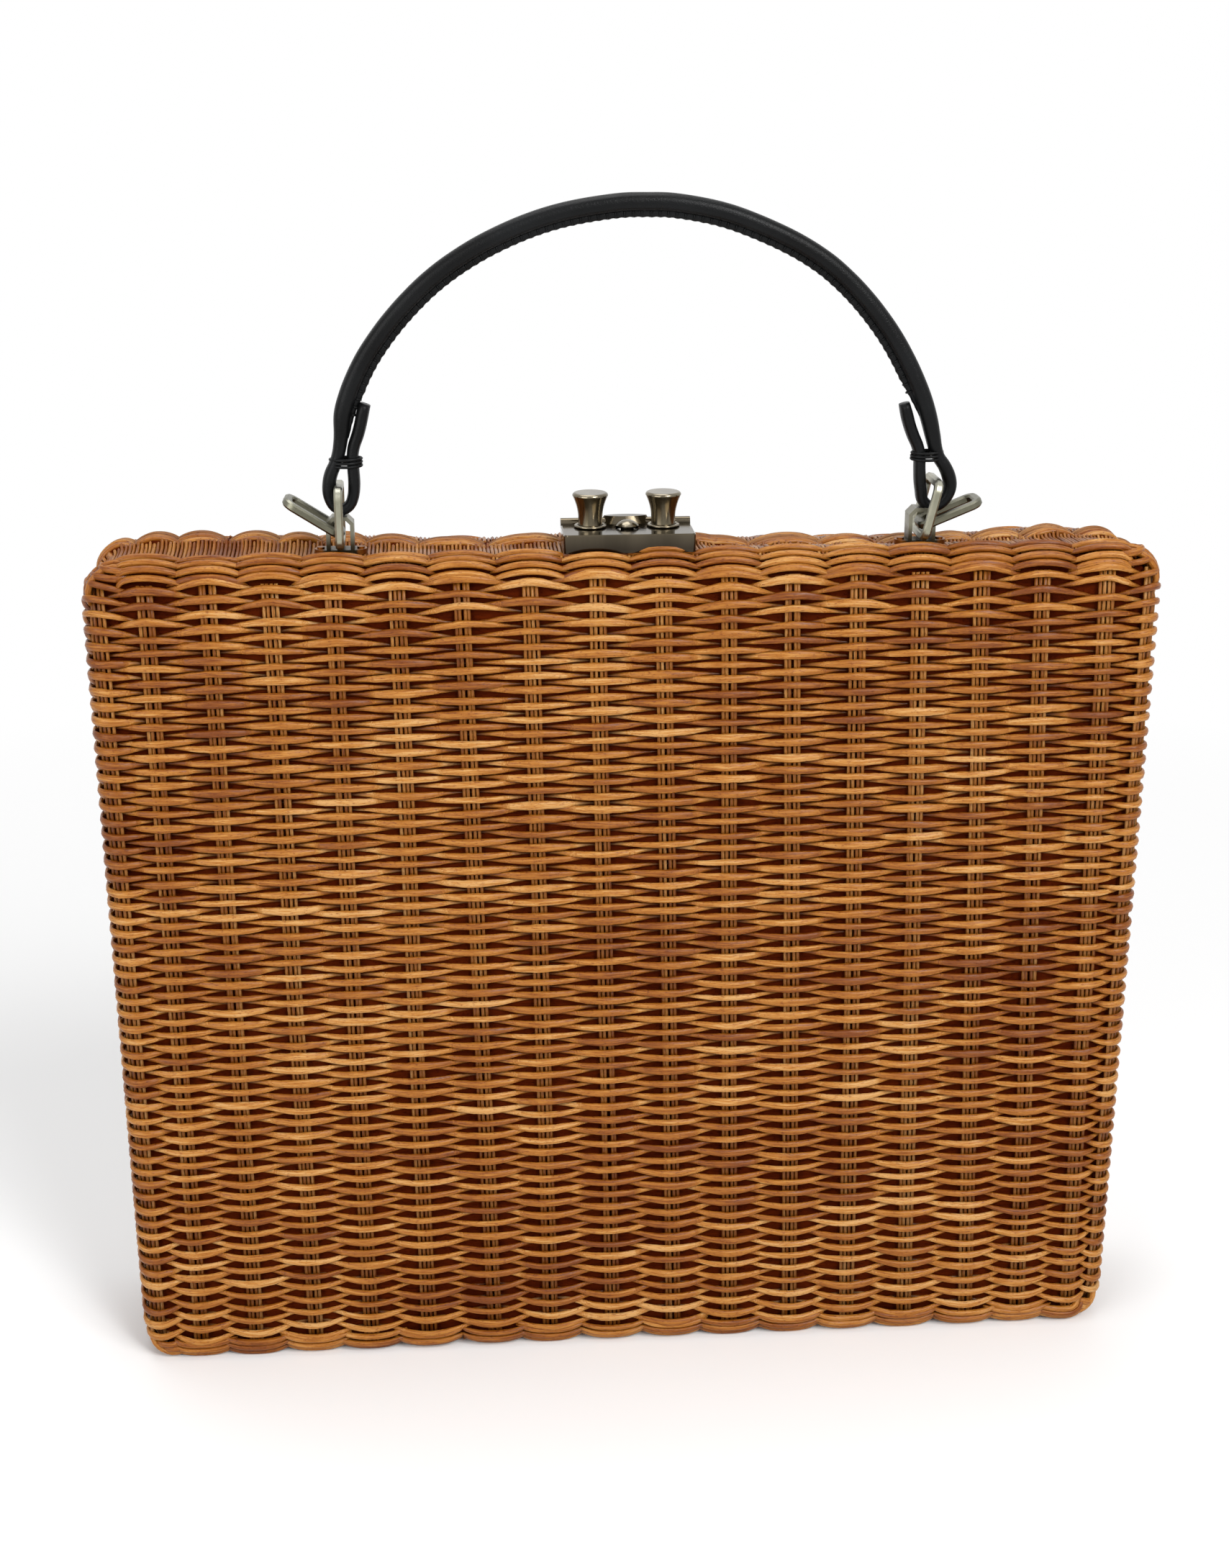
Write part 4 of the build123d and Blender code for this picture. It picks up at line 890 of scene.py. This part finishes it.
def border_core():
    """Sections of the core under a border's arches, whose upper side follows them; its dark colour is painted
    shade between the arches.
    """
    s = np.linspace(0, border_track.length, 600, endpoint=False)
    apart = (s[:, None] - border_runs[None, :] + border_track.length / 2) % border_track.length
    apart = np.abs(apart - border_track.length / 2)
    nearest = apart.argmin(1)
    share = np.clip(2 * apart[np.arange(len(s)), nearest] / border_gaps[nearest], 0, 1)
    rise = CORE_RISE * (1 - share**2) * np.clip(1 + 2 * border_track.at(s)[3], 0, 1)
    corners = []
    for y, inset in BORDER_CORE:
        x, z = border_track.at(s, rise - inset)[:2]
        corners.append(np.stack([x, np.full(len(s), y - CORE_START), z], -1))
    return np.stack(corners, 1)


def core_ring(name, body):
    """The core of one tray's border, as a closed ring, dark with painted shade."""
    rings = border_core()
    if body == "back_half":
        rings = rings[:, ::-1] * (1, -1, 1)
    n, r = rings.shape[:2]
    index = np.arange(n * r).reshape(n, r)
    after = np.roll(index, -1, 0)
    quads = np.stack([index, np.roll(index, -1, 1), np.roll(after, -1, 1), after], -1).reshape(-1, 4)
    points = settled(rings.reshape(-1, 3), body)
    fields = {"grain": points, "tone": np.full(len(points), 0.5), "shade": np.full(len(points), 0.3)}
    mesh_object(name, points, quads[:, ::-1], [], shade_core, body, fields)


core_ring("front_border_shade_core", "front_half")
core_ring("back_border_shade_core", "back_half")

# Handle: the rolled strip from one free tail round the loop, over the arch and down to the other tail.
# Each row is x, height over the trays' top and half thickness.
HANDLE_Y = -12.1
LEFT_HANDLE = [
    (-61.6, 34.6, 1.30), (-62.2, 32.8, 1.50), (-62.9, 29.8, 1.50), (-63.6, 27.4, 1.50), (-64.6, 24.6, 1.45),
    (-65.0, 22.0, 1.40), (-64.9, 19.0, 1.45), (-64.8, 15.8, 1.45), (-65.1, 13.0, 1.40), (-66.0, 10.8, 1.35),
    (-67.9, 9.7, 1.35), (-69.8, 10.8, 1.40), (-70.8, 13.3, 1.50), (-70.7, 16.0, 1.60), (-70.1, 18.4, 1.60),
    (-69.0, 20.8, 1.50), (-68.2, 23.2, 1.55), (-67.7, 25.8, 1.65), (-67.4, 28.0, 1.80), (-67.0, 32.2, 2.05),
    (-65.7, 36.4, 2.15), (-63.9, 40.7, 2.15), (-61.5, 45.2, 2.15), (-58.5, 49.6, 2.15), (-55.0, 54.0, 2.15),
    (-50.9, 58.4, 2.15), (-46.0, 62.9, 2.15), (-40.1, 67.2, 2.15), (-32.6, 71.5, 2.15), (-23.3, 75.5, 2.15),
    (-13.9, 78.2, 2.15), (-3.0, 79.9, 2.15),
]
RIGHT_HANDLE = [
    (4.1, 80.15, 2.15), (11.2, 79.85, 2.15), (21.3, 78.0, 2.15), (29.9, 75.1, 2.15), (39.2, 70.9, 2.15),
    (46.4, 66.5, 2.15), (51.8, 62.0, 2.15), (56.3, 57.4, 2.15), (60.1, 52.8, 2.15), (63.3, 48.3, 2.15),
    (66.1, 43.6, 2.15), (68.4, 39.1, 2.15), (70.4, 34.5, 2.15), (72.0, 29.9, 2.05), (73.2, 25.4, 1.85),
    (73.9, 22.6, 1.65), (74.8, 20.3, 1.55), (76.4, 18.0, 1.60), (77.5, 15.6, 1.65), (77.9, 13.2, 1.60),
    (77.2, 10.8, 1.50), (75.6, 8.9, 1.40), (73.4, 8.3, 1.35), (71.4, 9.8, 1.40), (70.9, 12.2, 1.45),
    (70.5, 15.0, 1.45), (70.3, 18.0, 1.40), (70.2, 20.6, 1.40), (69.6, 23.0, 1.45), (68.4, 25.6, 1.50),
    (67.4, 28.2, 1.50), (66.7, 30.6, 1.50), (66.0, 33.2, 1.30),
]


def smooth_line(points, samples):
    """Evenly spaced values on a smooth curve through rows of numbers."""
    points = np.array(points, float)
    padded = np.concatenate([[2 * points[0] - points[1]], points, [2 * points[-1] - points[-2]]])
    dense = []
    for i in range(len(points) - 1):
        a, b, c, d = padded[i : i + 4]
        square, cube = 2 * a - 5 * b + 4 * c - d, 3 * b - a - 3 * c + d
        for t in np.arange(0, 1, 0.05):
            dense.append(0.5 * (2 * b + (c - a) * t + square * t**2 + cube * t**3))
    dense = np.array(dense + [points[-1]])
    run = run_along(dense[:, :2])
    at = np.linspace(0, run[-1], samples)
    return np.stack([np.interp(at, run, dense[:, k]) for k in range(dense.shape[1])], -1)


def band(line, half_depth, ring, power):
    """One swept leather strip: line rows are x, height over the trays' top and half thickness."""
    tangent = direction_along(line[:, :2])
    angle = np.arange(ring) * 2 * pi / ring
    c, s = np.cos(angle), np.sin(angle)
    across = line[:, 2:3] * np.sign(c) * np.abs(c) ** power
    x = line[:, 0:1] - tangent[:, 1:2] * across
    z = TOP + line[:, 1:2] + tangent[:, 0:1] * across
    deep = HANDLE_Y + half_depth[:, None] * np.sign(s) * np.abs(s) ** power
    return plain_batch(np.stack([x, deep, z], -1)[None], 0.0, 0.0)


# Half depth of the strip where it is thin, what it gains where it is thick, and its share at the tips
STRIP_DEPTH, STRIP_GAIN = 2.3, 0.4
TIP_SHARE = 0.75
handle_line = smooth_line(LEFT_HANDLE + RIGHT_HANDLE, 420)
handle_depth = STRIP_DEPTH + STRIP_GAIN * np.clip((handle_line[:, 2] - 1.5) / 0.6, 0, 1)
handle_depth[[0, -1]] *= TIP_SHARE
handle = build("leather_handle", [band(handle_line, handle_depth, 16, 0.85)], black, "top_handle")
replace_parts(handle, "handle")

# Stitched flange along the inner side of the arch: it swells between the stitches and tapers at its ends
STITCH_PITCH = 2.1
FLANGE_TAPER = 12
FLANGE_OUT = 2.35
ARCH_FROM, ARCH_THICKNESS = 26.5, 1.7
arch = handle_line[(handle_line[:, 1] > ARCH_FROM) & (handle_line[:, 2] > ARCH_THICKNESS)]
flange_line = smooth_line(arch[::6], 520)
tangent = direction_along(flange_line[:, :2])
inward = np.stack([tangent[:, 1], -tangent[:, 0]], -1)
flange_run = run_along(flange_line[:, :2])
scallop = 0.5 + 0.5 * np.cos(2 * pi * flange_run / STITCH_PITCH)
taper = np.clip(np.minimum(flange_run, flange_run[-1] - flange_run) / FLANGE_TAPER, 0, 1) ** 0.7
flange = flange_line.copy()
flange[:, :2] += inward * (FLANGE_OUT * (0.55 + 0.45 * taper))[:, None]
flange[:, 2] = 0.45 + (0.62 + 0.16 * scallop) * taper
flange_depth = (0.75 + 0.22 * (1 - scallop)) * (0.5 + 0.5 * taper)

# Stitches: open loops round the flange's edge, by their angle
STITCH_START = 6.0
STITCH_OUT, STITCH_REACH, STITCH_DEPTH = 2.25, 1.05, 1.02
STITCH_RADIUS = 0.22
stitch_angles = np.linspace(-0.62 * pi, 0.62 * pi, 9)
stitch_paths, stitch_sides = [], []
for mark in np.arange(STITCH_START, flange_run[-1] - STITCH_START, STITCH_PITCH):
    px, pz = np.interp(mark, flange_run, flange_line[:, 0]), np.interp(mark, flange_run, flange_line[:, 1])
    ix, iz = np.interp(mark, flange_run, inward[:, 0]), np.interp(mark, flange_run, inward[:, 1])
    out = STITCH_OUT + STITCH_REACH * np.cos(stitch_angles)
    deep = HANDLE_Y - STITCH_DEPTH * np.sin(stitch_angles)
    stitch_paths.append(np.stack([px + ix * out, deep, TOP + pz + iz * out], -1))
    stitch_sides.append(np.tile((-iz, 0.0, ix), (len(out), 1)))
thread = plain_strands(stitch_paths, stitch_sides, STITCH_RADIUS, STITCH_RADIUS, 6)
build("handle_flange", [band(flange, flange_depth, 10, 0.8), thread], black, "top_handle")

# Thread wrapped round both necks, above the loops: middle of each, and its lean from turn to turn
NECKS = (-66.6, 21.0, 0.0), (71.9, 20.7, 0.06)
WRAP_PITCH = 0.75
WRAP_REACH, WRAP_DEPTH = 3.75, 2.75
WRAP_THREAD = (0.36, 0.3)
around = np.linspace(0, 2 * pi, 25)
wraps = []
for neck_x, neck_z, lean in NECKS:
    for turn in range(3):
        x = neck_x + lean * turn + WRAP_REACH * np.cos(around)
        z = TOP + neck_z + WRAP_PITCH * (turn - 1) + 0.12 * np.sin(around + turn)
        wraps.append(np.stack([x, HANDLE_Y + WRAP_DEPTH * np.sin(around), z], -1))
wrap_sides = np.broadcast_to((0.0, 0.0, 1.0), np.shape(wraps))
wrapped = plain_strands(wraps, wrap_sides, *WRAP_THREAD, 6)
build("handle_wraps", [wrapped], black, "top_handle")

# Rounded collars round the knobs' bases, which slide over the case with them. They are flattened at the
# rear, where the case's knuckles are.
COLLAR_RADIUS, COLLAR_REAR = 3.45, 2.6
COLLAR_RISE = 0.36
COLLAR_GIRTH = (0.55, 0.33)
around = np.linspace(0, 2 * pi, 49)
for side_name in ("left", "right"):
    low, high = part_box(f"{side_name}_knob")
    centre_x, centre_y = (low.x + high.x) / 2 / MM, (low.y + high.y) / 2 / MM
    x = centre_x + COLLAR_RADIUS * np.cos(around)
    y = centre_y + np.minimum(COLLAR_RADIUS * np.sin(around), COLLAR_REAR)
    path = np.stack([x, y, np.full(len(around), CASE_TOP + COLLAR_RISE)], -1)
    outward = np.stack([np.cos(around), np.sin(around), 0 * around], -1)
    seat = plain_strands([path], [outward], *COLLAR_GIRTH, 8)
    build(f"{side_name}_knob_seat", [seat], polished, f"{side_name}_knob_slider")

# Finishes of the CAD nodes that stay
FINISH = {"handle_ring": satin, "strap_ring": shaded_strap_satin, "bracket": bracket_nickel, "spring": steel,
          "clasp_case": case_metal}
for node_name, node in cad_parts.items():
    finish = polished
    for word, material in FINISH.items():
        if word in node_name:
            finish = material
    node.data.materials.clear()
    node.data.materials.append(finish)

# Floor
FLOOR_SIZE = 6.0
floor_mesh = bpy.data.meshes.new("floor")
floor_mesh.from_pydata(
    [(-FLOOR_SIZE, -FLOOR_SIZE, 0), (FLOOR_SIZE, -FLOOR_SIZE, 0), (FLOOR_SIZE, FLOOR_SIZE, 0),
     (-FLOOR_SIZE, FLOOR_SIZE, 0)], [], [(0, 1, 2, 3)],
)
floor = bpy.data.objects.new("floor", floor_mesh)
bpy.context.scene.collection.objects.link(floor)
floor_material, floor_tree, floor_shader = new_material("floor_pale")
floor_shader.inputs["Base Color"].default_value = (0.92, 0.92, 0.92, 1)
floor_shader.inputs["Roughness"].default_value = 0.9
floor_mesh.materials.append(floor_material)


def seen_ray(tree):
    """1 for rays that the camera, a reflection or a transmission sends out, otherwise 0."""
    path = add_node(tree, "ShaderNodeLightPath").outputs
    seen = calculated(tree, "MAXIMUM", path["Is Camera Ray"], path["Is Glossy Ray"])
    return calculated(tree, "MAXIMUM", seen, path["Is Transmission Ray"])


# Away from the bag the floor is plain white to the eye, so that it has no horizon
SHADOW_REACH, WHITE_FROM = 0.24, 0.62
floor_place = add_node(floor_tree, "ShaderNodeTexCoord").outputs["Object"]
away = add_node(floor_tree, "ShaderNodeVectorMath", {0: floor_place}, operation="LENGTH").outputs["Value"]
away = scalar_ramp(floor_tree, away, SHADOW_REACH, WHITE_FROM, 0.0, 1.0)
away = calculated(floor_tree, "MULTIPLY", away, seen_ray(floor_tree))
white = add_node(floor_tree, "ShaderNodeEmission", {"Color": (1, 1, 1, 1), "Strength": 1.0})
floor_mix = add_node(floor_tree, "ShaderNodeMixShader", {0: away})
floor_tree.links.new(floor_shader.outputs[0], floor_mix.inputs[1])
floor_tree.links.new(white.outputs[0], floor_mix.inputs[2])
floor_tree.links.new(floor_mix.outputs[0], floor_tree.nodes["Material Output"].inputs["Surface"])

# Background, white to the eye, and dimmer as a light
WORLD_LIGHT = 0.36
world = bpy.data.worlds.new("studio")
bpy.context.scene.world = world
world.use_nodes = True
world_tree = world.node_tree
background = world_tree.nodes["Background"]
strength = scalar_ramp(world_tree, seen_ray(world_tree), 0.0, 1.0, WORLD_LIGHT, 1.0)
world_tree.links.new(strength, background.inputs["Strength"])
background.inputs["Color"].default_value = (1, 1, 1, 1)


def area_light(name, place, target, size, power):
    """A soft rectangular lamp aimed at a point, in metres and watts."""
    data = bpy.data.lights.new(name, "AREA")
    data.shape = "RECTANGLE"
    data.size, data.size_y = size
    data.energy = power
    lamp = bpy.data.objects.new(name, data)
    bpy.context.scene.collection.objects.link(lamp)
    lamp.location = place
    direction = np.array(target) - np.array(place)
    lamp.rotation_euler = Vector(direction).to_track_quat("-Z", "Y").to_euler()


# Lights
area_light("key", (0.6, -1.0, 1.15), (0, 0, 0.12), (0.7, 0.5), 13.5)
area_light("window", (0.62, -1.25, 0.85), (0, 0, 0.12), (0.22, 0.22), 5.0)
area_light("fill", (-0.9, -0.95, 0.6), (0, 0, 0.12), (0.9, 0.9), 8.5)
area_light("top", (-0.1, 0.25, 1.5), (0, 0, 0.15), (0.9, 0.9), 9.0)

# Camera
camera_data = bpy.data.cameras.new("camera")
camera = bpy.data.objects.new("camera", camera_data)
bpy.context.scene.collection.objects.link(camera)
camera_data.sensor_fit = "VERTICAL"
camera_data.sensor_height = SENSOR_HEIGHT
camera_data.lens = CAMERA_LENS
camera_data.clip_start, camera_data.clip_end = 0.01, 50
camera.location = [value * MM for value in CAMERA_PLACE]
camera.rotation_euler = (radians(90 - CAMERA_PITCH), 0, radians(-CAMERA_YAW))
bpy.context.scene.camera = camera
bpy.context.scene.view_settings.view_transform = "Standard"
